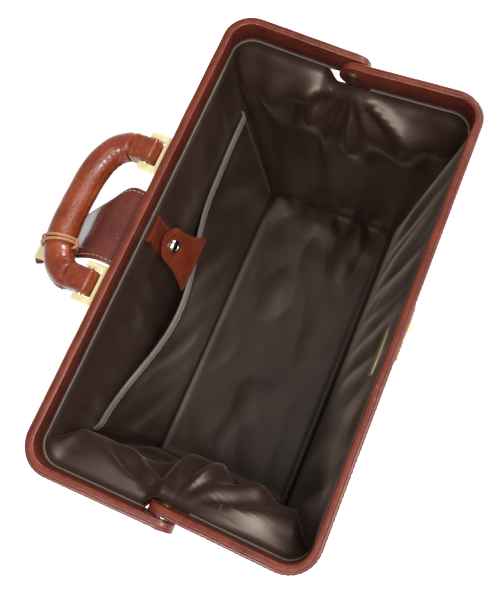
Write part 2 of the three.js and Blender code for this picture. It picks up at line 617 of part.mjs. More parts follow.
/** Grip with a rope core, end caps round the pins, and the lace. */
function addHandle(frame) {
  const handle = place(frame, ARM_REACH + PIN_REACH, 0, -rad(HANDLE_DROOP));
  const line = gripLine();
  const sweep = { steps: 28, bevelEnabled: false, extrudePath: line };
  const section = disc(GRIP_RADIUS, HANDLE_ROPE_RADIUS + BORE_CLEAR, 14);
  const rope = new THREE.ExtrudeGeometry(disc(HANDLE_ROPE_RADIUS, 0, 8), sweep);
  const behindSeam = block([-BRACKET_SPACING, -CAP_RADIUS, -30], [BRACKET_SPACING, CAP_LENGTH, 30]);
  add(handle, 'handle_grip', cut(new THREE.ExtrudeGeometry(section, sweep), behindSeam), 'leather');
  add(handle, 'handle_rope', cut(rope, behindSeam), 'rope');
  for (const [side, sign] of sides) {
    const profile = [new THREE.Vector2(0, -CAP_RADIUS)];
    for (let i = 1; i <= 4; i += 1) {
      const angle = i / 4 * Math.PI / 2;
      profile.push(new THREE.Vector2(CAP_RADIUS * Math.sin(angle), -CAP_RADIUS * Math.cos(angle)));
    }
    profile.push(new THREE.Vector2(CAP_RADIUS + 0.6, CAP_LENGTH - CLEAR));
    profile.push(new THREE.Vector2(0, CAP_LENGTH - CLEAR));
    const cap = new THREE.LatheGeometry(profile, 16).translate(sign * BRACKET_SPACING / 2, 0, 0);
    const x = sign * BRACKET_SPACING / 2;
    const bore = rodX(PIN_RADIUS + BORE_CLEAR, x - 20, x + 20);
    add(handle, `handle_cap_${side}`, cut(cap, bore), 'leather');
  }
  addLace(handle, line);
}

/** Lace wound round the grip near its left bend. */
function addLace(handle, line) {
  const at = LACE_PLACE;
  const middle = line.getPointAt(at);
  const along = line.getTangentAt(at);
  const across = new THREE.Vector3(-along.y, along.x, 0);
  const up = new THREE.Vector3(0, 0, 1);
  const radius = GRIP_RADIUS + CLEAR + LACE_RADIUS + 0.35;
  const points = [];
  const count = LACE_TURNS * 16;
  for (let i = 0; i <= count; i += 1) {
    const turn = i / 16 * 2 * Math.PI;
    const step = (i / count - 0.5) * LACE_TURNS * LACE_PITCH;
    points.push(middle.clone().addScaledVector(along, step)
      .addScaledVector(across, radius * Math.cos(turn)).addScaledVector(up, radius * Math.sin(turn)));
  }
  const sweep = { steps: count * 2, bevelEnabled: false, extrudePath: new THREE.CatmullRomCurve3(points) };
  add(handle, 'handle_lace', new THREE.ExtrudeGeometry(disc(LACE_RADIUS, 0, 8), sweep), 'lace');
}

const LACE_PLACE = 0.24;        // share of the grip's length from its left end

// ---------- flap ----------

/** Closing flap, lying under the grip, with its hasp. */
function addFlap(frame) {
  const flap = place(frame, ARM_REACH, 0);
  const t = FLAP_THICKNESS;
  const top = [[0, 4], [16, 3], [32, -10.5], [47, -28], [60, -42], [76, -54], [90, -61]];
  const side = polygon([...top, ...top.map(([r, s]) => [r - 0.5 * t, s - 0.86 * t]).reverse()]);
  const bent = prism(side, -70, 50).rotateX(Math.PI / 2).rotateZ(Math.PI / 2);
  const plan = polygon([[FLAP_ROOT_LEFT, -FLAP_TUCK], [FLAP_ROOT_RIGHT, -FLAP_TUCK], [FLAP_ROOT_RIGHT, 10],
    [21, 18], [11, 30], [3, 45], [-9, 66], [-23, 84], [-30, 95], [-50, 95], [-54, 84], [-47, 64], [-43, 40],
    [FLAP_ROOT_LEFT, 15]]);
  const leather = common(bent, prism(plan, -80, 30));
  add(flap, 'flap', cut(leather, block([-80, -5, -20], [80, 2 * CLEAR, 20])), 'darkLeather');
  const slope = Math.atan2(-7, 14);
  const hasp = block([-HASP_LENGTH / 2, -HASP_WIDTH / 2, 0],
    [HASP_LENGTH / 2, HASP_WIDTH / 2, HASP_THICKNESS]);
  hasp.rotateX(slope).translate(...HASP_PLACE);
  add(flap, 'hasp_plate', hasp, 'brass');
}

// ---------- assembly ----------

/** Both walls with what they carry. */
function addWalls() {
  const rear = place(bag, WALL_LINE_Y, WALL_LINE_Z, -OPEN_LEAN);
  addWall(rear, 'rear');
  addSlipPocket(rear);
  addSnapTab(rear);
  const turned = new THREE.Group();
  turned.rotation.z = Math.PI;
  bag.add(turned);
  const front = place(turned, WALL_LINE_Y, WALL_LINE_Z, -OPEN_LEAN);
  addWall(front, 'front');
  addFrontPocket(front);
  addLock(front);
  addInnerPlate(front);
}

/** Both halves of the hinged frame with what they carry. */
function addFrames() {
  const rear = place(bag, 0, RIVET_AXIS_HEIGHT, rad(OPEN_TILT));
  addFrameHalf(rear, 'rear', HALF_LENGTH, 1);
  addWashers(rear);
  addBrackets(rear);
  addHandle(rear);
  addFlap(rear);
  const turned = new THREE.Group();
  turned.rotation.z = Math.PI;
  bag.add(turned);
  const front = place(turned, 0, RIVET_AXIS_HEIGHT, rad(OPEN_TILT));
  addFrameHalf(front, 'front', FRONT_HALF_LENGTH, -1);
}

addBase();
addGussets();
addWalls();
addFrames();

export { WALL_TRAVEL, ARM_TRAVEL, WALL_LENGTH, OPEN_LEAN, SHUT_TILT };
export default bag;
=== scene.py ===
"""A leather doctor bag standing open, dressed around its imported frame.

Lengths inside the classes are in millimetres and are turned into metres when a mesh is made.
"""

import json
import logging
import math
from dataclasses import dataclass
from enum import Enum

import bmesh
import bpy
import numpy as np
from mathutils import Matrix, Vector


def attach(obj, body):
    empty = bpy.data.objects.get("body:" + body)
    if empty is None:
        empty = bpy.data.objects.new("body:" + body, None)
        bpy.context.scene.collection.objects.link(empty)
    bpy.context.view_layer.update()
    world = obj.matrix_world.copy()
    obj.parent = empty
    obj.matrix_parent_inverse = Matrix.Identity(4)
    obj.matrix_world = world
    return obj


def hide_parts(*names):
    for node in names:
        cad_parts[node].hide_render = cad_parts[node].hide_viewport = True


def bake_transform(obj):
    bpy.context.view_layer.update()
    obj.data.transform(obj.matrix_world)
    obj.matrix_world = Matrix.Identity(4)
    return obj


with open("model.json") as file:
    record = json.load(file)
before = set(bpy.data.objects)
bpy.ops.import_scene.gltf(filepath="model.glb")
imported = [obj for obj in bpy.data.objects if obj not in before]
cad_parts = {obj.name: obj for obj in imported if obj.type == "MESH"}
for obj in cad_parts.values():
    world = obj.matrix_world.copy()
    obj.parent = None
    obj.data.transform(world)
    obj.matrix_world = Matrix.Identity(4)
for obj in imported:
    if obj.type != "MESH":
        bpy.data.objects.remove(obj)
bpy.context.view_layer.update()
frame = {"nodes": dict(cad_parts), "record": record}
LOG = logging.getLogger("doctor_bag")
MM = 0.001
Array = np.ndarray
Knots = tuple[tuple[float, float], ...]


class Side(Enum):
    """A long side of the bag, by the sign of its Y."""

    REAR = 1
    FRONT = -1

    @property
    def word(self) -> str:
        """The side's name as the bodies and nodes use it."""
        return self.name.lower()

    @property
    def wall(self) -> str:
        """The body of the side's long wall."""
        return f"{self.word}_wall"

    @property
    def frame(self) -> str:
        """The body of the side's half of the frame."""
        return f"{self.word}_frame"

    @property
    def half_length(self) -> float:
        """Half the outer length of the side's steel strip; the front one nests in the rear one."""
        return 200.0 if self is Side.REAR else 191.4


class End(Enum):
    """An end of the bag, by the sign of its X."""

    LEFT = -1
    RIGHT = 1

    @property
    def word(self) -> str:
        """The end's name as the nodes use it."""
        return self.name.lower()


# ---------- shader groups ----------

def new_group(name: str, inputs: dict[str, float], outputs: list[str]) -> bpy.types.NodeTree:
    """Starts a shader node group.

    Args:
        name: the group's name.
        inputs: its float inputs and their values; a vector input comes with every group.
        outputs: the names of its float outputs.

    Returns:
        The group, holding only its input and output nodes.
    """
    group = bpy.data.node_groups.new(name, "ShaderNodeTree")
    group.interface.new_socket("Vector", in_out="INPUT", socket_type="NodeSocketVector")
    for label, value in inputs.items():
        socket = group.interface.new_socket(label, in_out="INPUT", socket_type="NodeSocketFloat")
        socket.default_value = value
    for label in outputs:
        group.interface.new_socket(label, in_out="OUTPUT", socket_type="NodeSocketFloat")
    group.nodes.new("NodeGroupInput").name = "In"
    group.nodes.new("NodeGroupOutput").name = "Out"
    return group


def noise(tree: bpy.types.NodeTree, vector: bpy.types.NodeSocket, scale: float,
          detail: float = 3.0) -> bpy.types.NodeSocket:
    """Adds a noise texture.

    Args:
        tree: the nodes that it joins.
        vector: its coordinates.
        scale: its scale.
        detail: its detail.

    Returns:
        Its factor.
    """
    node = tree.nodes.new("ShaderNodeTexNoise")
    node.inputs["Scale"].default_value = scale
    node.inputs["Detail"].default_value = detail
    tree.links.new(vector, node.inputs["Vector"])
    return node.outputs["Fac"]


def maths(tree: bpy.types.NodeTree, kind: str, *values: bpy.types.NodeSocket | float,
          clamp: bool = False) -> bpy.types.NodeSocket:
    """Adds a maths node.

    Args:
        tree: the nodes that it joins.
        kind: its operation.
        values: its inputs, sockets or numbers.
        clamp: whether its value stays from 0 to 1.

    Returns:
        Its value.
    """
    node = tree.nodes.new("ShaderNodeMath")
    node.operation = kind
    node.use_clamp = clamp
    for socket, value in zip(node.inputs, values):
        if isinstance(value, (int, float)):
            socket.default_value = value
        else:
            tree.links.new(value, socket)
    return node.outputs[0]


def ramp(tree: bpy.types.NodeTree, value: bpy.types.NodeSocket, low: float, high: float,
         to_low: float = 0.0, to_high: float = 1.0) -> bpy.types.NodeSocket:
    """Maps a range of a value onto another, clamped.

    Args:
        tree: the nodes that it joins.
        value: the value.
        low: where its range starts.
        high: where its range ends.
        to_low: what the start becomes.
        to_high: what the end becomes.

    Returns:
        The mapped value.
    """
    node = tree.nodes.new("ShaderNodeMapRange")
    tree.links.new(value, node.inputs["Value"])
    for label, number in zip(("From Min", "From Max", "To Min", "To Max"), (low, high, to_low, to_high)):
        node.inputs[label].default_value = number
    return node.outputs["Result"]


def grain_group() -> bpy.types.NodeTree:
    """Leather: pebbled pores, soft creases and a slow mottle of the dye.

    Returns:
        The group.
    """
    group = new_group("Leather Grain", {"Pore Scale": 950.0, "Crease Scale": 130.0, "Crease": 0.5},
                      ["Height", "Mottle"])
    source = group.nodes["In"].outputs
    pores = group.nodes.new("ShaderNodeTexVoronoi")
    pores.feature = "SMOOTH_F1"
    group.links.new(source["Vector"], pores.inputs["Vector"])
    group.links.new(source["Pore Scale"], pores.inputs["Scale"])
    crease = group.nodes.new("ShaderNodeTexNoise")
    crease.inputs["Detail"].default_value = 5.0
    crease.inputs["Distortion"].default_value = 0.8
    group.links.new(source["Vector"], crease.inputs["Vector"])
    group.links.new(source["Crease Scale"], crease.inputs["Scale"])
    folded = maths(group, "ABSOLUTE", maths(group, "SUBTRACT", crease.outputs["Fac"], 0.5))
    creases = ramp(group, folded, 0.0, 0.09)
    pebble = ramp(group, pores.outputs["Distance"], 0.0, 0.6, 1.0, 0.0)
    share = maths(group, "MULTIPLY", creases, source["Crease"])
    height = maths(group, "ADD", maths(group, "MULTIPLY", pebble, 0.35), share)
    group.links.new(height, group.nodes["Out"].inputs["Height"])
    mottle = maths(group, "ADD", maths(group, "MULTIPLY", noise(group, source["Vector"], 38.0, 4.0), 0.65),
                   maths(group, "MULTIPLY", noise(group, source["Vector"], 260.0, 2.0), 0.35))
    group.links.new(ramp(group, mottle, 0.3, 0.7), group.nodes["Out"].inputs["Mottle"])
    return group


def wear_group() -> bpy.types.NodeTree:
    """Scuffs: sparse small marks, as a mask.

    Returns:
        The group.
    """
    group = new_group("Scuffs", {"Scale": 300.0, "Amount": 0.2}, ["Mask"])
    source = group.nodes["In"].outputs
    spots = group.nodes.new("ShaderNodeTexNoise")
    spots.inputs["Detail"].default_value = 6.0
    spots.inputs["Roughness"].default_value = 0.7
    group.links.new(source["Vector"], spots.inputs["Vector"])
    group.links.new(source["Scale"], spots.inputs["Scale"])
    sparse = ramp(group, noise(group, source["Vector"], 45.0, 2.0), 0.5, 0.68)
    marks = ramp(group, spots.outputs["Fac"], 0.6, 0.72)
    mask = maths(group, "MULTIPLY", maths(group, "MULTIPLY", marks, sparse), source["Amount"])
    group.links.new(mask, group.nodes["Out"].inputs["Mask"])
    return group


def weave_group() -> bpy.types.NodeTree:
    """Cloth: crossing threads with slubs, from coordinates in metres.

    Returns:
        The group.
    """
    group = new_group("Cloth Weave", {"Threads": 1700.0, "Slub": 0.4}, ["Height", "Tone"])
    source = group.nodes["In"].outputs
    split = group.nodes.new("ShaderNodeSeparateXYZ")
    group.links.new(source["Vector"], split.inputs[0])
    threads = []
    for axis in ("X", "Y"):
        angle = maths(group, "MULTIPLY", split.outputs[axis], source["Threads"])
        threads.append(maths(group, "SINE", angle))
    cross = maths(group, "MULTIPLY", threads[0], threads[1])
    height = maths(group, "MULTIPLY_ADD", cross, 0.5, 0.5)
    group.links.new(height, group.nodes["Out"].inputs["Height"])
    slub = maths(group, "MULTIPLY", noise(group, source["Vector"], 420.0, 4.0), source["Slub"])
    slow = maths(group, "MULTIPLY", noise(group, source["Vector"], 28.0, 3.0), 0.6)
    tone = maths(group, "ADD", maths(group, "ADD", slub, slow), maths(group, "MULTIPLY", height, 0.15))
    group.links.new(ramp(group, tone, 0.3, 0.85), group.nodes["Out"].inputs["Tone"])
    return group


GRAIN = grain_group()
SCUFFS = wear_group()
WEAVE = weave_group()

# ---------- finishes ----------

Colour = tuple[float, float, float]


def shader(name: str) -> tuple[bpy.types.Material, bpy.types.NodeTree, bpy.types.Node]:
    """Starts a material.

    Args:
        name: the material's name.

    Returns:
        The material, its tree and its Principled shader.
    """
    material = bpy.data.materials.new(name)
    material.use_nodes = True
    tree = material.node_tree
    return material, tree, tree.nodes["Principled BSDF"]


def place_group(tree: bpy.types.NodeTree, group: bpy.types.NodeTree, vector: bpy.types.NodeSocket,
                values: dict[str, float]) -> dict[str, bpy.types.NodeSocket]:
    """Puts a group into a material.

    Args:
        tree: the material's nodes.
        group: the group.
        vector: what feeds its vector.
        values: its other inputs.

    Returns:
        Its outputs by name.
    """
    node = tree.nodes.new("ShaderNodeGroup")
    node.node_tree = group
    tree.links.new(vector, node.inputs["Vector"])
    for label, value in values.items():
        node.inputs[label].default_value = value
    return {socket.name: socket for socket in node.outputs}


def mix_colour(tree: bpy.types.NodeTree, factor: bpy.types.NodeSocket, first: Colour | bpy.types.NodeSocket,
               second: Colour) -> bpy.types.NodeSocket:
    """Mixes two colours by a mask.

    Args:
        tree: the material's nodes.
        factor: the mask.
        first: the colour where the mask is 0.
        second: the colour where it is 1.

    Returns:
        The mixed colour.
    """
    node = tree.nodes.new("ShaderNodeMix")
    node.data_type = "RGBA"
    tree.links.new(factor, node.inputs["Factor"])
    if isinstance(first, tuple):
        node.inputs["A"].default_value = (*first, 1.0)
    else:
        tree.links.new(first, node.inputs["A"])
    node.inputs["B"].default_value = (*second, 1.0)
    return node.outputs["Result"]


def bump(tree: bpy.types.NodeTree, height: bpy.types.NodeSocket, distance: float, strength: float,
         to: bpy.types.Node) -> None:
    """Feeds a height to a shader's normal.

    Args:
        tree: the material's nodes.
        height: the height.
        distance: how deep it is, in metres.
        strength: how strongly it shows.
        to: the shader.
    """
    node = tree.nodes.new("ShaderNodeBump")
    node.inputs["Distance"].default_value = distance
    node.inputs["Strength"].default_value = strength
    tree.links.new(height, node.inputs["Height"])
    tree.links.new(node.outputs["Normal"], to.inputs["Normal"])


@dataclass(frozen=True)
class LeatherFinish:
    """Dyed and polished hide."""

    name: str
    light: Colour
    dark: Colour
    scuff: Colour = (0.5, 0.22, 0.13)
    roughness: tuple[float, float] = (0.26, 0.4)
    coat: float = 0.15
    pore_scale: float = 950.0
    crease: float = 0.45
    depth: float = 0.00025
    wear: float = 0.5

    def material(self) -> bpy.types.Material:
        """Builds the material.

        Returns:
            The material.
        """
        material, tree, skin = shader(self.name)
        where = tree.nodes.new("ShaderNodeTexCoord").outputs["Object"]
        grain = place_group(tree, GRAIN, where, {"Pore Scale": self.pore_scale, "Crease": self.crease})
        scuffs = place_group(tree, SCUFFS, where, {"Amount": self.wear})
        dyed = mix_colour(tree, grain["Mottle"], self.dark, self.light)
        tree.links.new(mix_colour(tree, scuffs["Mask"], dyed, self.scuff), skin.inputs["Base Color"])
        tree.links.new(ramp(tree, grain["Mottle"], 0.0, 1.0, *self.roughness), skin.inputs["Roughness"])
        skin.inputs["Specular IOR Level"].default_value = 0.32
        skin.inputs["Coat Weight"].default_value = self.coat
        skin.inputs["Coat Roughness"].default_value = 0.12
        bump(tree, grain["Height"], self.depth, 0.6, skin)
        return material


@dataclass(frozen=True)
class ClothFinish:
    """Woven cloth; its weave follows the piece's own flat map."""

    name: str
    light: Colour
    dark: Colour
    roughness: float = 0.5
    sheen: float = 0.4
    threads: float = 5200.0
    depth: float = 0.00006

    def material(self) -> bpy.types.Material:
        """Builds the material.

        Returns:
            The material.
        """
        material, tree, cloth = shader(self.name)
        where = tree.nodes.new("ShaderNodeUVMap")
        where.uv_map = "Flat"
        weave = place_group(tree, WEAVE, where.outputs["UV"], {"Threads": self.threads})
        tree.links.new(mix_colour(tree, weave["Tone"], self.dark, self.light), cloth.inputs["Base Color"])
        cloth.inputs["Roughness"].default_value = self.roughness
        cloth.inputs["Sheen Weight"].default_value = self.sheen
        cloth.inputs["Sheen Roughness"].default_value = 0.28
        cloth.inputs["Sheen Tint"].default_value = (1.0, 0.76, 0.62, 1.0)
        cloth.inputs["Specular Tint"].default_value = (1.0, 0.82, 0.7, 1.0)
        bump(tree, weave["Height"], self.depth, 0.5, cloth)
        return material


@dataclass(frozen=True)
class MetalFinish:
    """Polished or aged metal with fine rubbing."""

    name: str
    colour: Colour
    tarnish: Colour
    roughness: tuple[float, float] = (0.12, 0.3)
    tarnish_share: float = 0.35
    metallic: float = 1.0

    def material(self) -> bpy.types.Material:
        """Builds the material.

        Returns:
            The material.
        """
        material, tree, metal = shader(self.name)
        where = tree.nodes.new("ShaderNodeTexCoord").outputs["Object"]
        cloudy = ramp(tree, noise(tree, where, 160.0, 5.0), 0.35, 0.75, 0.0, self.tarnish_share)
        tree.links.new(mix_colour(tree, cloudy, self.colour, self.tarnish), metal.inputs["Base Color"])
        metal.inputs["Metallic"].default_value = self.metallic
        rubbed = noise(tree, where, 900.0, 3.0)
        tree.links.new(ramp(tree, rubbed, 0.3, 0.7, *self.roughness), metal.inputs["Roughness"])
        bump(tree, rubbed, 0.00003, 0.3, metal)
        return material


@dataclass(frozen=True)
class FibreFinish:
    """Cord, thread or board: matt fibres."""

    name: str
    light: Colour
    dark: Colour
    scale: float = 1400.0
    roughness: float = 0.75

    def material(self) -> bpy.types.Material:
        """Builds the material.

        Returns:
            The material.
        """
        material, tree, fibre = shader(self.name)
        where = tree.nodes.new("ShaderNodeTexCoord").outputs["Object"]
        strand = noise(tree, where, self.scale, 4.0)
        tree.links.new(mix_colour(tree, ramp(tree, strand, 0.3, 0.7), self.dark, self.light),
                       fibre.inputs["Base Color"])
        fibre.inputs["Roughness"].default_value = self.roughness
        bump(tree, strand, 0.0002, 0.5, fibre)
        return material


Finish = LeatherFinish | ClothFinish | MetalFinish | FibreFinish

CHESTNUT = LeatherFinish("chestnut leather", (0.13, 0.0215, 0.0075), (0.066, 0.0095, 0.0045))
GRIP_HIDE = LeatherFinish("glazed grip leather", (0.2, 0.035, 0.008), (0.085, 0.012, 0.004), coat=0.4,
                          roughness=(0.2, 0.32), crease=0.8, depth=0.0004)
FLAP_HIDE = LeatherFinish("flap leather", (0.095, 0.014, 0.008), (0.05, 0.007, 0.005), coat=0.6)
# Darker leather: a dyed edge on the front pocket's hem, and painted shade on the frame strip's inner face.
OXBLOOD_EDGE_AND_SHADE = LeatherFinish("oxblood edge", (0.062, 0.009, 0.005), (0.035, 0.005, 0.004), coat=0.15,
                        roughness=(0.4, 0.6), wear=0.15)
PEBBLED = LeatherFinish("pebbled patch leather", (0.17, 0.024, 0.01), (0.08, 0.011, 0.006),
                        pore_scale=420.0, depth=0.0008, crease=0.9)
LINING = ClothFinish("satin lining", (0.033, 0.0165, 0.0115), (0.013, 0.0062, 0.0043),
                     roughness=0.34, sheen=0.18)
TAPE = ClothFinish("woven tape", (0.125, 0.105, 0.09), (0.06, 0.05, 0.042), roughness=0.75, threads=3500.0,
                   depth=0.0002)
BRASS = MetalFinish("polished brass", (0.95, 0.82, 0.47), (0.86, 0.7, 0.36), (0.18, 0.26), 0.15,
                    metallic=0.62)
AGED_BRASS = MetalFinish("aged brass", (0.42, 0.28, 0.12), (0.12, 0.07, 0.03), (0.25, 0.45), 0.8)
CHROME = MetalFinish("chrome", (0.85, 0.85, 0.86), (0.5, 0.5, 0.52), (0.08, 0.18), 0.2)
STEEL = MetalFinish("frame steel", (0.45, 0.45, 0.46), (0.2, 0.19, 0.18), (0.3, 0.5), 0.6)
BLACK_SNAP = MetalFinish("snap centre", (0.06, 0.055, 0.05), (0.02, 0.02, 0.02), (0.25, 0.4))
THREAD = FibreFinish("saddle thread", (0.11, 0.03, 0.017), (0.05, 0.013, 0.008))
PALE_THREAD = FibreFinish("pale thread", (0.42, 0.3, 0.22), (0.25, 0.16, 0.11))
GREY_THREAD = FibreFinish("grey thread", (0.2, 0.18, 0.16), (0.1, 0.09, 0.08))
LACE = FibreFinish("tan lace", (0.34, 0.15, 0.07), (0.2, 0.075, 0.035), 700.0, 0.55)
ROPE = FibreFinish("rope core", (0.5, 0.42, 0.3), (0.3, 0.24, 0.16))
BOARD = FibreFinish("stiffening board", (0.25, 0.2, 0.15), (0.16, 0.12, 0.09))

SLOT_FINISH: dict[str, Finish] = {
    "leather": CHESTNUT, "dark_leather": FLAP_HIDE, "lining": LINING, "binding": TAPE, "brass": BRASS,
    "aged_brass": AGED_BRASS, "steel": STEEL, "chrome": CHROME, "board": BOARD, "rope": ROPE, "lace": LACE,
}
MATERIALS: dict[str, bpy.types.Material] = {}


def dress(finish: Finish) -> bpy.types.Material:
    """Finds a finish's material, built once.

    Args:
        finish: the finish.

    Returns:
        Its material.
    """
    if finish.name not in MATERIALS:
        MATERIALS[finish.name] = finish.material()
    return MATERIALS[finish.name]


# ---------- places in the bag ----------

RIVET_HEIGHT = 268.0
OPEN_TILT = math.radians(4.0)
REACH = 112.0
STRIP = 7.0
STRIP_HALF = 11.5
INNER_BEND = 18.0
HANDLE_PIN_Y = 127.189
HANDLE_PIN_Z = 276.894
HANDLE_TURN = math.radians(-11.0)
WALL_LINE_Y = 80.0
WALL_LINE_Z = 11.0
WALL_LENGTH = 254.757
WALL_BASE_HALF = 170.0
WALL_TOP_HALF = 175.5
WALL_LEAN = math.radians(6.545)
FLOOR_TOP = 15.9
SLIP_TOP = 175.0
LINING_FACE = -1.5


def stack(x: Array, y: Array, z: Array) -> Array:
    """Broadcasts three coordinates and stacks them as points."""
    return np.stack(np.broadcast_arrays(x, y, z), axis=-1).astype(float)


def in_frame(side: Side, x: Array, r: Array, s: Array) -> Array:
    """Points of a half frame.

    Args:
        side: which half.
        x: place along the bag.
        r: how far out from the rivets.
        s: how far up across its strip.

    Returns:
        The points, in the bag's frame.
    """
    x, r, s = (np.asarray(value, float) for value in (x, r, s))
    y = side.value * (r * math.cos(OPEN_TILT) - s * math.sin(OPEN_TILT))
    return stack(x, y, RIVET_HEIGHT + r * math.sin(OPEN_TILT) + s * math.cos(OPEN_TILT))


def in_wall(side: Side, x: Array, v: Array, u: Array) -> Array:
    """Points of a long wall.

    Args:
        side: which wall.
        x: place along the bag.
        v: how far outwards.
        u: how far up from its hinge line.

    Returns:
        The points, in the bag's frame.
    """
    x, v, u = (np.asarray(value, float) for value in (x, v, u))
    y = side.value * (WALL_LINE_Y + v * math.cos(WALL_LEAN) + u * math.sin(WALL_LEAN))
    return stack(x, y, WALL_LINE_Z - v * math.sin(WALL_LEAN) + u * math.cos(WALL_LEAN))


def in_handle(x: Array, d: Array, h: Array) -> Array:
    """Points of the handle.

    Args:
        x: place along the bag.
        d: how far out from its pins.
        h: how far up across it.

    Returns:
        The points, in the bag's frame.
    """
    x, d, h = (np.asarray(value, float) for value in (x, d, h))
    y = HANDLE_PIN_Y + d * math.cos(HANDLE_TURN) - h * math.sin(HANDLE_TURN)
    return stack(x, y, HANDLE_PIN_Z + d * math.sin(HANDLE_TURN) + h * math.cos(HANDLE_TURN))


def smooth(value: Array, low: float, high: float) -> Array:
    """Rises from 0 at low to 1 at high with level ends."""
    t = np.clip((np.asarray(value, float) - low) / (high - low), 0.0, 1.0)
    return t * t * (3.0 - 2.0 * t)


def bell(value: Array, middle: float, width: float) -> Array:
    """A bell curve of height 1."""
    return np.exp(-((np.asarray(value, float) - middle) / width) ** 2)


def waves(x: Array, y: Array, seed: int, pitch: float, count: int = 6) -> Array:
    """Soft irregular waves of about one pitch.

    Args:
        x: one coordinate, in millimetres.
        y: the other.
        seed: fixes the waves.
        pitch: their mean length, in millimetres.
        count: how many sines are added.

    Returns:
        Heights of about -1 to 1.
    """
    random = np.random.RandomState(seed)
    total = np.zeros(np.broadcast(x, y).shape)
    for _ in range(count):
        turn, phase = random.uniform(0.0, math.pi), random.uniform(0.0, 2.0 * math.pi)
        number = 2.0 * math.pi / (pitch * random.uniform(0.7, 1.5))
        total = total + np.sin(number * (x * math.cos(turn) + y * math.sin(turn)) + phase)
    return total / count * 1.6


def spline(knots: list[tuple[float, ...]], steps: int) -> Array:
    """A smooth line through its knots, with even steps between them.

    Args:
        knots: points of any dimension.
        steps: steps from each knot to the next.

    Returns:
        The line's points.
    """
    k = np.array(knots, float)
    k = np.vstack([2.0 * k[0] - k[1], k, 2.0 * k[-1] - k[-2]])
    line = []
    for a, b, c, d in zip(k, k[1:], k[2:], k[3:]):
        for t in np.arange(steps) / steps:
            line.append(0.5 * (2.0 * b + (c - a) * t + (2.0 * a - 5.0 * b + 4.0 * c - d) * t * t
                               + (3.0 * b - a - 3.0 * c + d) * t ** 3))
    return np.array(line + [k[-2]])


def spread(low: float, high: float, count: int) -> Array:
    """Even numbers from low to high."""
    return np.linspace(low, high, count)


# ---------- meshes ----------

def set_down(name: str, data: bpy.types.ID) -> bpy.types.Object:
    """Puts a new object into the scene.

    Args:
        name: its name.
        data: its mesh, camera or light.

    Returns:
        The object.
    """
    obj = bpy.data.objects.new(name, data)
    bpy.context.scene.collection.objects.link(obj)
    return obj


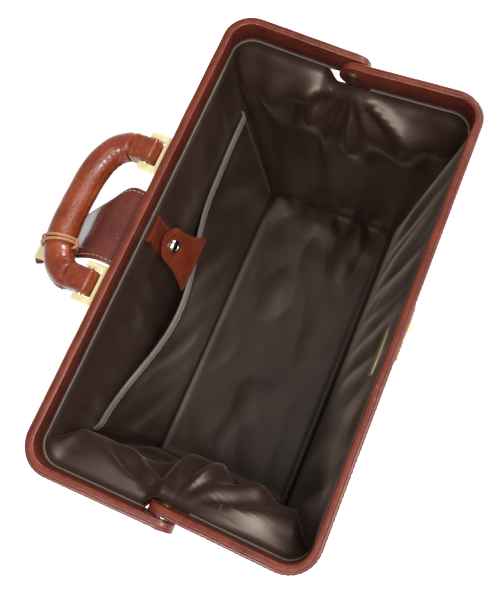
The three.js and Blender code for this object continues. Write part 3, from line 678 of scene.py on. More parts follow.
class Maker:
    """Gathers closed shapes, in millimetres, and makes them one object."""

    def __init__(self, name: str) -> None:
        """Starts a piece.

        Args:
            name: the piece's name.
        """
        self.name = name
        self.points: list[Array] = []
        self.faces: list[list[int]] = []
        self.flat: list[Array] = []
        self.slots: list[int] = []
        self.finishes: list[Finish] = []
        self.count = 0

    def _slot(self, finish: Finish) -> int:
        """Finds the material slot of a finish.

        Args:
            finish: the finish.

        Returns:
            The slot's number.
        """
        if finish not in self.finishes:
            self.finishes.append(finish)
        return self.finishes.index(finish)

    def _add(self, points: Array, flat: Array, faces: list[list[int]], slots: list[int]) -> None:
        """Adds a closed shape.

        Args:
            points: its points.
            flat: their flat places.
            faces: its faces, as point numbers from 0.
            slots: each face's material slot.
        """
        self.points.append(points.reshape(-1, 3))
        self.flat.append(flat.reshape(-1, 2))
        self.faces += [[corner + self.count for corner in face] for face in faces]
        self.slots += slots
        self.count += len(self.points[-1])

    def shell(self, grid: Array, thick: float | Array, finish: Finish, away: bool = False) -> "Maker":
        """Adds a sheet with thickness.

        Args:
            grid: its face, as rows of points.
            thick: its thickness, or one for each point.
            finish: its finish.
            away: whether it grows to the other side of the face.

        Returns:
            The maker.
        """
        rows, columns = grid.shape[:2]
        normal = np.cross(np.gradient(grid, axis=0), np.gradient(grid, axis=1))
        normal /= np.maximum(np.linalg.norm(normal, axis=-1, keepdims=True), 1e-9)
        depth = np.broadcast_to(np.asarray(thick, float), (rows, columns))[..., None]
        back = grid + normal * depth * (1.0 if away else -1.0)
        lengths = [np.linalg.norm(np.diff(grid, axis=axis), axis=-1) for axis in (0, 1)]
        along = np.pad(np.cumsum(lengths[1], axis=1), ((0, 0), (1, 0)))
        along = along - along.mean(axis=1, keepdims=True)
        up = np.pad(np.cumsum(lengths[0], axis=0), ((1, 0), (0, 0)))
        flat = np.stack([along, up], axis=-1) * MM
        index = np.arange(rows * columns).reshape(rows, columns)
        a, b, c, d = index[:-1, :-1], index[:-1, 1:], index[1:, 1:], index[1:, :-1]
        front = np.stack([a, b, c, d], axis=-1).reshape(-1, 4)
        rim = np.concatenate([index[0], index[1:, -1], index[-1, -2::-1], index[-2:0:-1, 0]])
        after = np.roll(rim, -1)
        total = rows * columns
        sides = np.stack([after, rim, rim + total, after + total], axis=-1)
        faces = np.vstack([front, front[:, ::-1] + total, sides]).tolist()
        self._add(np.concatenate([grid.reshape(-1, 3), back.reshape(-1, 3)]),
                  np.concatenate([flat.reshape(-1, 2), flat.reshape(-1, 2)]), faces,
                  [self._slot(finish)] * len(faces))
        return self

    def sweep(self, rings: Array, finish: Finish | list[Finish], loop: bool = False) -> "Maker":
        """Adds a closed section carried along a path.

        Args:
            rings: the section's points at each step of the path.
            finish: its finish, or one for each edge of the section.
            loop: whether the path closes on itself.

        Returns:
            The maker.
        """
        steps, sides = rings.shape[:2]
        kinds = [finish] * sides if not isinstance(finish, list) else finish
        index = np.arange(steps * sides).reshape(steps, sides)
        after = np.roll(index, -1, axis=1)
        low, high = (index, np.roll(index, -1, axis=0)) if loop else (index[:-1], index[1:])
        next_low, next_high = (after, np.roll(after, -1, axis=0)) if loop else (after[:-1], after[1:])
        faces = np.stack([low, next_low, next_high, high], axis=-1).reshape(-1, 4).tolist()
        slots = [self._slot(kind) for kind in kinds] * len(low)
        if not loop:
            faces += [index[0, ::-1].tolist(), index[-1].tolist()]
            slots += [self._slot(kinds[0])] * 2
        run = np.pad(np.cumsum(np.linalg.norm(np.diff(rings.mean(axis=1), axis=0), axis=-1)), (1, 0))
        round_it = np.pad(np.cumsum(np.linalg.norm(np.diff(rings[0], axis=0), axis=-1)), (1, 0))
        flat = np.stack(np.meshgrid(run, round_it, indexing="ij"), axis=-1) * MM
        self._add(rings, flat, faces, slots)
        return self

    def tube(self, path: Array, radius: float | Array, finish: Finish, sides: int = 10,
             loop: bool = False) -> "Maker":
        """Adds a round tube.

        Args:
            path: its middle line.
            radius: its radius, or one for each point.
            finish: its finish.
            sides: sides of its section.
            loop: whether it closes on itself.

        Returns:
            The maker.
        """
        _, across, over = carried_axes(path, loop)
        angle = spread(0.0, 2.0 * math.pi, sides + 1)[:-1]
        size = np.broadcast_to(np.asarray(radius, float), (len(path),))[:, None, None]
        ring = np.cos(angle)[None, :, None] * across[:, None] + np.sin(angle)[None, :, None] * over[:, None]
        return self.sweep(path[:, None] + ring * size, finish, loop)

    def lathe(self, profile: list[tuple[float, float]], middle: Array, axis: Array, finish: Finish,
              sides: int = 24) -> "Maker":
        """Adds a turned shape.

        Args:
            profile: radius and height, from the bottom's middle to the top's.
            middle: where height 0 is.
            axis: the way up.
            finish: its finish.
            sides: how many sides.

        Returns:
            The maker.
        """
        up = np.asarray(axis, float) / np.linalg.norm(axis)
        side = np.cross(up, [0.0, 1.0, 0.0] if abs(up[1]) < 0.9 else [1.0, 0.0, 0.0])
        side /= np.linalg.norm(side)
        other = np.cross(up, side)
        angle = spread(0.0, 2.0 * math.pi, sides + 1)[:-1]
        spoke = np.cos(angle)[:, None] * side + np.sin(angle)[:, None] * other
        rings = np.array([middle + spoke * max(r, 0.02) + up * h for r, h in profile])
        return self.sweep(rings, finish)

    def make(self, crease: float = 42.0, bevel: float = 0.0) -> bpy.types.Object:
        """Makes the object.

        Args:
            crease: the angle in degrees above which an edge stays sharp.
            bevel: width of the rounding on sharp edges.

        Returns:
            The object, with its rounding applied.
        """
        mesh = bpy.data.meshes.new(self.name)
        mesh.from_pydata(np.concatenate(self.points) * MM, [], self.faces)
        for finish in self.finishes:
            mesh.materials.append(dress(finish))
        mesh.polygons.foreach_set("material_index", self.slots)
        flat = np.concatenate(self.flat)
        layer = mesh.uv_layers.new(name="Flat")
        corners = np.empty(len(mesh.loops), int)
        mesh.loops.foreach_get("vertex_index", corners)
        layer.data.foreach_set("uv", flat[corners].ravel())
        obj = set_down(self.name, mesh)
        point_outwards(mesh)
        if bevel:
            add_bevel(obj, bevel)
            settle(obj)
        shade(obj.data, crease)
        return obj


def carried_axes(path: Array, loop: bool = False) -> tuple[Array, Array, Array]:
    """Axes carried along a path without twisting.

    Args:
        path: the points.
        loop: whether it closes on itself.

    Returns:
        The tangent and two normals at each point.
    """
    if loop:
        along = np.roll(path, -1, axis=0) - np.roll(path, 1, axis=0)
    else:
        along = np.gradient(path, axis=0)
    along = along / np.linalg.norm(along, axis=1, keepdims=True)
    start = np.array([0.0, 0.0, 1.0]) if abs(along[0, 2]) < 0.9 else np.array([1.0, 0.0, 0.0])
    across = np.empty_like(along)
    last = start
    for i, forward in enumerate(along):
        last = last - forward * last.dot(forward)
        last = last / np.linalg.norm(last)
        across[i] = last
    return along, across, np.cross(along, across)


def point_outwards(mesh: bpy.types.Mesh) -> None:
    """Turns every closed shell's faces outwards.

    Args:
        mesh: the mesh.
    """
    work = bmesh.new()
    work.from_mesh(mesh)
    bmesh.ops.recalc_face_normals(work, faces=work.faces[:])
    work.to_mesh(mesh)
    work.free()


def add_bevel(obj: bpy.types.Object, width: float) -> None:
    """Rounds an object's sharp edges.

    Args:
        obj: the object.
        width: the rounding, in millimetres.
    """
    step = obj.modifiers.new("Round", "BEVEL")
    step.width = width * MM
    step.segments = 2
    step.limit_method = "ANGLE"
    step.angle_limit = math.radians(35.0)


def settle(obj: bpy.types.Object) -> None:
    """Applies an object's modifiers.

    Args:
        obj: the object.
    """
    graph = bpy.context.evaluated_depsgraph_get()
    mesh = bpy.data.meshes.new_from_object(obj.evaluated_get(graph))
    obj.modifiers.clear()
    obj.data = mesh


def shade(mesh: bpy.types.Mesh, crease: float) -> None:
    """Shades a mesh smooth but for its sharp edges.

    Args:
        mesh: the mesh.
        crease: the angle, in degrees, above which an edge is sharp.
    """
    mesh.polygons.foreach_set("use_smooth", [True] * len(mesh.polygons))
    mesh.set_sharp_from_angle(angle=math.radians(crease))


def fit(obj: bpy.types.Object, body: str, slot: str, *nodes: str) -> bpy.types.Object:
    """Lets a piece ride on a body and hides the nodes that it replaces.

    Args:
        obj: the piece.
        body: the body that it rides on.
        slot: not used.
        nodes: the nodes that it replaces, if any.

    Returns:
        The piece.
    """
    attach(obj, body)
    if nodes:
        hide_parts(*nodes)
    LOG.info("made %s on %s", obj.name, body)
    return obj


def refined(node: str, body: str, slot: str, finish: Finish, width: float = 0.5) -> bpy.types.Object:
    """Replaces a hard CAD node by a copy with rounded edges.

    Args:
        node: the node.
        body: the body that it rides on.
        slot: not used.
        finish: its finish.
        width: the rounding, in millimetres.

    Returns:
        The copy.
    """
    mesh = frame["nodes"][node].data.copy()
    mesh.name = f"{node}_fine"
    work = bmesh.new()
    work.from_mesh(mesh)
    bmesh.ops.remove_doubles(work, verts=work.verts[:], dist=1e-6)
    bmesh.ops.dissolve_limit(work, angle_limit=math.radians(1.0), verts=work.verts[:], edges=work.edges[:])
    work.to_mesh(mesh)
    work.free()
    mesh.materials.clear()
    mesh.materials.append(dress(finish))
    obj = set_down(f"{node}_fine", mesh)
    add_bevel(obj, width)
    settle(obj)
    shade(obj.data, 35.0)
    return fit(obj, body, slot, node)


# ---------- stitches ----------

def stitch_tree() -> bpy.types.NodeTree:
    """The node tree that sews thread along lines, with its sizes as inputs.

    Returns:
        The tree.
    """
    tree = bpy.data.node_groups.new("Sew Stitches", "GeometryNodeTree")
    face = tree.interface
    face.new_socket("Geometry", in_out="INPUT", socket_type="NodeSocketGeometry")
    for label, value in (("Spacing", 0.004), ("Stitch Length", 0.003), ("Thread Radius", 0.0004)):
        face.new_socket(label, in_out="INPUT", socket_type="NodeSocketFloat").default_value = value
    face.new_socket("Thread", in_out="INPUT", socket_type="NodeSocketMaterial")
    face.new_socket("Geometry", in_out="OUTPUT", socket_type="NodeSocketGeometry")
    nodes, link = tree.nodes, tree.links.new
    source, result = nodes.new("NodeGroupInput"), nodes.new("NodeGroupOutput")
    curve = nodes.new("GeometryNodeMeshToCurve")
    resample = nodes.new("GeometryNodeResampleCurve")
    resample.mode = "LENGTH"
    bead = nodes.new("GeometryNodeMeshUVSphere")
    bead.inputs["Segments"].default_value = 6
    bead.inputs["Rings"].default_value = 4
    bead.inputs["Radius"].default_value = 1.0
    size = nodes.new("ShaderNodeCombineXYZ")
    half = nodes.new("ShaderNodeMath")
    half.operation = "MULTIPLY"
    half.inputs[1].default_value = 0.5
    tangent = nodes.new("GeometryNodeInputTangent")
    turn = nodes.new("FunctionNodeAlignRotationToVector")
    turn.axis = "Z"
    sew = nodes.new("GeometryNodeInstanceOnPoints")
    real = nodes.new("GeometryNodeRealizeInstances")
    paint = nodes.new("GeometryNodeSetMaterial")
    link(source.outputs["Geometry"], curve.inputs["Mesh"])
    link(curve.outputs["Curve"], resample.inputs["Curve"])
    link(source.outputs["Spacing"], resample.inputs["Length"])
    link(source.outputs["Stitch Length"], half.inputs[0])
    link(source.outputs["Thread Radius"], size.inputs["X"])
    link(source.outputs["Thread Radius"], size.inputs["Y"])
    link(half.outputs[0], size.inputs["Z"])
    link(tangent.outputs[0], turn.inputs["Vector"])
    link(resample.outputs["Curve"], sew.inputs["Points"])
    link(bead.outputs["Mesh"], sew.inputs["Instance"])
    link(turn.outputs["Rotation"], sew.inputs["Rotation"])
    link(size.outputs["Vector"], sew.inputs["Scale"])
    link(sew.outputs["Instances"], real.inputs["Geometry"])
    link(real.outputs["Geometry"], paint.inputs["Geometry"])
    link(source.outputs["Thread"], paint.inputs["Material"])
    link(paint.outputs["Geometry"], result.inputs["Geometry"])
    return tree


STITCHES = stitch_tree()


def sew(name: str, lines: list[Array], finish: Finish, spacing: float = 4.0, length: float = 3.0,
        radius: float = 0.4) -> bpy.types.Object:
    """Sews stitches along lines.

    Args:
        name: the piece's name.
        lines: the lines, in millimetres.
        finish: the thread's finish.
        spacing: from stitch to stitch.
        length: a stitch's length.
        radius: the thread's radius.

    Returns:
        The stitches as one plain mesh.
    """
    points, edges, count = [], [], 0
    for line in lines:
        points.append(line)
        edges += [(count + i, count + i + 1) for i in range(len(line) - 1)]
        count += len(line)
    mesh = bpy.data.meshes.new(name)
    mesh.from_pydata(np.concatenate(points) * MM, edges, [])
    obj = set_down(name, mesh)
    step = obj.modifiers.new("Sew", "NODES")
    step.node_group = STITCHES
    values = {"Spacing": spacing * MM, "Stitch Length": length * MM, "Thread Radius": radius * MM,
              "Thread": dress(finish)}
    for item in STITCHES.interface.items_tree:
        if item.in_out == "INPUT" and item.name in values:
            step[item.identifier] = values[item.name]
    settle(obj)
    shade(obj.data, 80.0)
    return obj


# ---------- base ----------

@dataclass
class BaseTray:
    """The stiff base: leather outside, welt round its edge, lined floor and studs."""

    length: float = 352.0
    width: float = 164.0
    corner: float = 18.0
    floor: tuple[float, float] = (341.0, 154.0)
    foot_height: float = 8.0
    wrinkle_height: float = 1.1
    rumple_height: float = 1.7
    pull_height: float = 6.0
    seam_roll: float = 1.3
    feet: Knots = ((0, 0), (-152, -58), (152, -58), (-152, 58), (152, 58))

    def outline(self, inset: float, steps: int = 10) -> Array:
        """The base's rounded outline, in its own plane.

        Args:
            inset: how far in from its edge.
            steps: points at each corner.

        Returns:
            The outline's points in (x, y).
        """
        half = np.array([self.length / 2 - inset, self.width / 2 - inset])
        radius = self.corner - inset
        line = []
        for turn, sx, sy in ((0, 1, 1), (90, -1, 1), (180, -1, -1), (270, 1, -1)):
            angle = np.radians(turn + spread(0.0, 90.0, steps))
            middle = (half - radius) * (sx, sy)
            line.append(middle + radius * np.stack([np.cos(angle), np.sin(angle)], axis=-1))
        return np.concatenate(line)

    def ring(self, inset: float, height: float) -> Array:
        """The outline at a height, as points."""
        plan = self.outline(inset)
        return stack(plan[:, 0], plan[:, 1], np.full(len(plan), height))

    def leather(self) -> None:
        """Base leather with a rolled edge, and the welt sewn round it."""
        refined("base_leather", "base", "leather", CHESTNUT, 0.9)
        fit(Maker("base_welt").tube(self.ring(0.8, 12.2), 1.9, CHESTNUT, 8, True).make(), "base", "leather")
        line = self.ring(4.0, 8.2)
        fit(sew("base_stitches", [np.vstack([line, line[:1]])], THREAD, 4.5, 3.3), "base", "leather")

    def lining(self) -> None:
        """The floor's satin lining, wrinkled and lifting a little at its edges."""
        x, y = np.meshgrid(spread(-1, 1, 150) * self.floor[0] / 2, spread(-1, 1, 70) * self.floor[1] / 2,
                           indexing="ij")
        edge = np.minimum(self.floor[0] / 2 - np.abs(x), self.floor[1] / 2 - np.abs(y))
        slack = smooth(x, 20.0, 150.0) * 0.9 + 0.35
        wrinkle = np.abs(waves(x * 0.35, y, 11, 40.0, 4))
        height = FLOOR_TOP + slack * wrinkle * self.wrinkle_height * smooth(edge, 2.0, 30.0)
        rumple = waves(0.7 * x + 0.9 * y, 0.8 * y - 0.3 * x, 17, 84.0, 4)
        height += self.rumple_height * np.maximum(rumple - 0.2, 0.0) * smooth(edge, 3.0, 30.0)
        pull = smooth(x, 112.0, 168.0) * (0.45 + 0.75 * waves(x * 0.35, y, 13, 26.0, 4))
        height += self.pull_height * np.maximum(pull, 0.0) * smooth(edge, 0.5, 9.0)
        height += self.seam_roll * bell(edge, 3.0, 3.5)
        sheet = Maker("floor_lining_cloth").shell(stack(x, y, height), 1.1, LINING).make()
        fit(sheet, "base", "lining", "floor_lining")

    def studs(self) -> None:
        """Five turned studs."""
        profile = [(0.0, 0.0), (3.6, 0.05), (5.4, 0.6), (6.5, 1.9), (7.0, 4.0), (7.0, 5.2), (6.4, 5.8),
                   (6.7, 6.4), (7.0, 7.2), (6.8, self.foot_height), (0.0, self.foot_height)]
        for number, (x, y) in enumerate(self.feet, 1):
            stud = Maker(f"foot_{number}_turned")
            stud.lathe(profile, np.array([x, y, 0.0]), np.array([0.0, 0.0, 1.0]), BRASS, 32)
            fit(stud.make(30.0), "base", "brass", f"foot_{number}")

    def build(self) -> None:
        """Makes the base."""
        self.leather()
        self.lining()
        self.studs()


# ---------- long walls ----------

def wall_half(u: Array) -> Array:
    """Half the length of a long wall at a height along it."""
    return WALL_BASE_HALF + (WALL_TOP_HALF - WALL_BASE_HALF) * np.asarray(u, float) / WALL_LENGTH


def inner_reach(side: Side, x: Array) -> Array:
    """How far out the strip's inner face lies along the bag, round its corners."""
    past = np.clip(np.abs(x) - side.half_length + STRIP + INNER_BEND, 0.0, INNER_BEND)
    return REACH - STRIP - INNER_BEND + np.sqrt(INNER_BEND ** 2 - past ** 2)


@dataclass
class LongWall:
    """A long side: leather panel outside, satin lining inside, both reaching up to the frame."""

    side: Side
    lining_top: float = 247.0
    panel_top: float = 253.0
    bend: float = 4.5
    rows: int = 60
    columns: int = 110
    fold_depth: float = 4.2
    broad_fold_depth: float = 2.4
    tuck_depth: float = 2.4
    belly: float = 1.6
    lap: tuple[float, ...] = (-12.6, -11.6, -10.6, -9.8)

    def over_hinge(self, obj: bpy.types.Object) -> None:
        """Bakes a sheet's placement into its mesh.

        Args:
            obj: the sheet.
        """
        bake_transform(obj)

    def lining(self) -> None:
        """The lining: soft upright folds, drawn in at the floor and held under the frame."""
        u = np.concatenate([spread(5.6, self.lining_top, self.rows), [0.0] * len(self.lap)])[:, None]
        across = spread(-1.0, 1.0, self.columns)[None, :]
        x = across * (wall_half(np.minimum(u, self.lining_top)) - 1.0)
        loose = smooth(u, 20.0, 130.0) * (1.0 - 0.75 * smooth(u, 215.0, 247.0))
        loose = loose * smooth(1 - np.abs(across), 0, 0.08)
        fold = np.abs(waves(x, u * 0.16, 21 + self.side.value, 42.0)) * self.fold_depth
        fold += np.abs(waves(x, u * 0.4, 31, 95.0, 4)) * self.broad_fold_depth
        if self.side is Side.REAR:
            fold *= 0.35 + 0.65 * smooth(u, 178.0, 215.0)
        else:
            fold *= 0.55 * (1.0 - bell(x, -14.0, 34.0) * bell(u, 214.0, 22.0))
        tuck = self.tuck_depth * bell(u, 6.0, 5.0)
        grid = in_wall(self.side, x, LINING_FACE - 0.2 - loose * fold - tuck, u)
        for step, s in enumerate(self.lap):
            row = self.rows + step
            place = across[0] * (WALL_TOP_HALF - 1.0)
            grid[row] = in_frame(self.side, place, inner_reach(self.side, place) - 0.45, s)
        sheet = Maker(f"{self.side.word}_lining_cloth")
        sheet.shell(grid, 0.5, LINING, away=self.side is Side.REAR)
        obj = sheet.make(80.0)
        self.over_hinge(obj)
        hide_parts(f"{self.side.word}_lining")
        LOG.info("made %s", obj.name)

    def panel(self) -> None:
        """The leather panel, belled a little, with a rolled top under the frame."""
        u = spread(3.5, self.panel_top, self.rows)[:, None]
        across = spread(-1.0, 1.0, self.columns)[None, :]
        x = across * wall_half(u)
        belly = self.belly * np.sin(np.pi * u / WALL_LENGTH) * (1.0 - across ** 4)
        v = 2.7 + belly * 0.35 + 0.25 * waves(x, u, 41, 70.0)
        v = v - 2.0 * smooth(np.abs(across), 0.985, 1.0)
        panel = Maker(f"{self.side.word}_panel_hide")
        panel.shell(in_wall(self.side, x, v, u), 2.2, CHESTNUT, away=self.side is Side.FRONT)
        obj = panel.make(bevel=0.5)
        fit(obj, self.side.wall, "leather", f"{self.side.word}_panel")

    def seams(self) -> None:
        """Piping up both end seams and the stitches beside it."""
        piping = Maker(f"{self.side.word}_piping")
        lines = []
        u = spread(3.0, 249.0, 50)
        for end in End:
            piping.tube(in_wall(self.side, end.value * (wall_half(u) + 0.4), 1.2, u), 2.4, CHESTNUT, 10)
            lines.append(in_wall(self.side, end.value * (wall_half(u) - 5.0), 3.3, u))
        fit(piping.make(), self.side.wall, "leather")
        lines.append(in_wall(self.side, spread(-165.0, 165.0, 60), 3.2, 244.0))
        fit(sew(f"{self.side.word}_wall_stitches", lines, THREAD, 4.4, 3.2), self.side.wall, "leather")

    def build(self) -> None:
        """Makes the wall."""
        self.lining()
        self.panel()
        self.seams()


# ---------- gussets ----------

@dataclass
class Gusset:
    """An end: cloth and leather in a rear and a front half, folding in under the rivets.

    The halves hang from the two arms of the frame, meet at the middle and are drawn in to the base.
    """

    end: End
    columns: int = 64
    rows: int = 70
    floor_x: float = 169.4
    corner_y: float = 77.8
    dip: float = 3.5
    slack: float = 3.0
    crumple_depth: float = 3.2

    @property
    def belly(self) -> float:
        """How far the slack cloth bellies in under the arms."""
        return 13.0 if self.end is End.RIGHT else 21.0

    @property
    def belly_fall(self) -> float:
        """How far below the arms the belly is fullest, near the corners."""
        return 34.0 if self.end is End.RIGHT else 30.0

    @property
    def belly_below(self) -> float:
        """How fast the belly falls back in below."""
        return 36.0 if self.end is End.RIGHT else 50.0

    @property
    def ridges(self) -> tuple[tuple[float, float, float], ...]:
        """The folds fanning out under the rivets.

        Returns:
            Each fold's angle from straight down, its width and its height.
        """
        if self.end is End.RIGHT:
            return ((-72, 8, 9), (-44, 13, 8), (-14, 7, 8), (7, 5, 5), (33, 10, 7), (66, 13, 9))
        return ((-76, 8, 8), (-48, 15, 9), (-12, 9, 8), (20, 15, 7), (52, 9, 10), (77, 9, 7))

    def top_edge(self, side: Side, across: Array, drop: float, out: float) -> Array:
        """The edge that hangs from an arm.

        Args:
            side: which half.
            across: 0 at the rivets to 1 at the corner seam.
            drop: how far below the arm's middle it lies.
            out: how far outside the arm's inner face.

        Returns:
            Its points, for the right end.
        """
        inner = side.half_length - STRIP
        bend = INNER_BEND
        straight = REACH - STRIP - bend
        seam = inner - WALL_TOP_HALF + 2.0
        angle_end = math.acos(max(-1.0, min(1.0, (bend - seam) / bend))) if seam < bend else math.pi / 2
        arc = bend * angle_end
        rest = max(0.0, seam - bend)
        run = across * (straight + arc + rest)
        angle = np.clip((run - straight) / bend, 0.0, angle_end)
        flat = np.clip(run - straight - arc, 0.0, None)
        x = inner - bend * (1.0 - np.cos(angle)) - flat
        r = np.minimum(run, straight) + bend * np.sin(angle)
        step_end = 28.0 if self.end is End.RIGHT else 20.0
        hold = 0.6 + (8.6 * (1.0 - smooth(r, 12.0, step_end)) if side is Side.REAR else 0.0)
        x = x - hold + out
        share = self.dip if self.end is End.RIGHT else 0.0
        dip = share * bell(side.value * r, 11.0, 9.0)
        return in_frame(side, x, r, -drop - dip)

    def surface(self, side: Side, drop: float, out: float, folds: float) -> Array:
        """A half of the end, from the floor up.

        Args:
            side: which half.
            drop: how far below the arm's middle its top edge lies.
            out: how far it stands outside the lining.
            folds: share of the folds that it shows.

        Returns:
            Its grid of points.
        """
        across = spread(0.0, 1.0, self.columns)
        up = spread(0.0, 1.0, self.rows)[:, None]
        low = stack(self.floor_x + out - 1.2 * across ** 6,
                    side.value * across * (self.corner_y + out * 0.5), 17.0)
        high = self.top_edge(side, across, drop, out)
        grid = low[None] * (1.0 - up[..., None]) + high[None] * up[..., None]
        grid[..., 1] -= grid[:, :1, 1] * (1.0 - across) ** 3
        lift = np.minimum(grid[..., 2], 258.0) - WALL_LINE_Z
        seam_y = side.value * (WALL_LINE_Y - 0.6 + out * 0.5 + lift * math.tan(WALL_LEAN))
        tucked = smooth(across, 0.86, 1.0)[None, :] * (1.0 - smooth(grid[..., 2], 254.0, 262.0))
        grid[..., 1] += (seam_y - grid[..., 1]) * tucked
        y = grid[..., 1]
        fall = 256.0 - grid[..., 2]
        reach = np.hypot(y, fall)
        wander = 5.0 * waves(reach * 0.6, y * 0.5, 50 + self.end.value, 70.0, 3)
        angle = np.degrees(np.arctan2(y, fall)) + wander
        grow = smooth(reach, 3.0, 42.0) * (1.0 - 0.95 * smooth(reach, 44.0, 112.0))
        ridge = sum(tall * bell(angle, place, wide) for place, wide, tall in self.ridges)
        hang = self.belly_fall + 26.0 * bell(y, -4.0, 46.0)
        hang = hang + 3.0 * waves(y, y * 0.0, 65 + self.end.value, 50.0, 3)
        wide = np.where(fall < hang, 0.8 * hang, self.belly_below)
        swag = 1.0 + 0.3 * waves(y, 0.3 * fall, 88 + self.end.value, 52.0, 3)
        slack = self.belly * swag * bell(fall, hang, wide) + self.slack * np.sin(np.pi * up) ** 0.8
        crumple = waves(y + 0.5 * fall, 0.8 * fall - 0.3 * y, 77 + self.end.value, 48.0, 4)
        ruck = self.crumple_depth * crumple * smooth(fall, 6.0, 34.0)
        ruck = ruck * (1.0 - 0.75 * smooth(fall, 60.0, 110.0))
        free = (1.0 - smooth(across, 0.84, 1.0))[None, :] * smooth(up, 0.0, 0.09)
        free = free * (1.0 - smooth(up, 0.955, 1.0))
        grid[..., 0] -= ((ridge * grow + ruck) * folds + slack) * free
        grid[..., 0] *= self.end.value
        return grid

    def across_seam(self, obj: bpy.types.Object) -> None:
        """Bakes a half's placement into its mesh.

        Args:
            obj: the half.
        """
        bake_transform(obj)

    def cloth(self) -> None:
        """The lining's halves."""
        pieces = []
        for side in Side:
            grid = self.surface(side, 10.4, 0.0, 1.0)
            flipped = side.value * self.end.value
            piece = Maker(f"gusset_{self.end.word}_cloth_{side.word}")
            obj = piece.shell(grid, 0.5, LINING, away=flipped < 0).make(80.0)
            self.across_seam(obj)
            pieces.append(obj)
        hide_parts(f"gusset_lining_{self.end.word}")
        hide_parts(f"gusset_lining_{self.end.word}")
        for obj in pieces:
            LOG.info("made %s", obj.name)

    def hide(self) -> None:
        """The leather halves outside."""
        for side in Side:
            grid = self.surface(side, 12.4, 2.4, 0.25)
            flipped = side.value * self.end.value
            piece = Maker(f"gusset_{self.end.word}_hide_{side.word}")
            obj = piece.shell(grid, 1.8, CHESTNUT, away=flipped < 0).make()
            self.across_seam(obj)
            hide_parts(f"gusset_leather_{self.end.word}")
            LOG.info("made %s", obj.name)

    def build(self) -> None:
        """Makes the end."""
        self.cloth()
        self.hide()


# ---------- slip pocket ----------

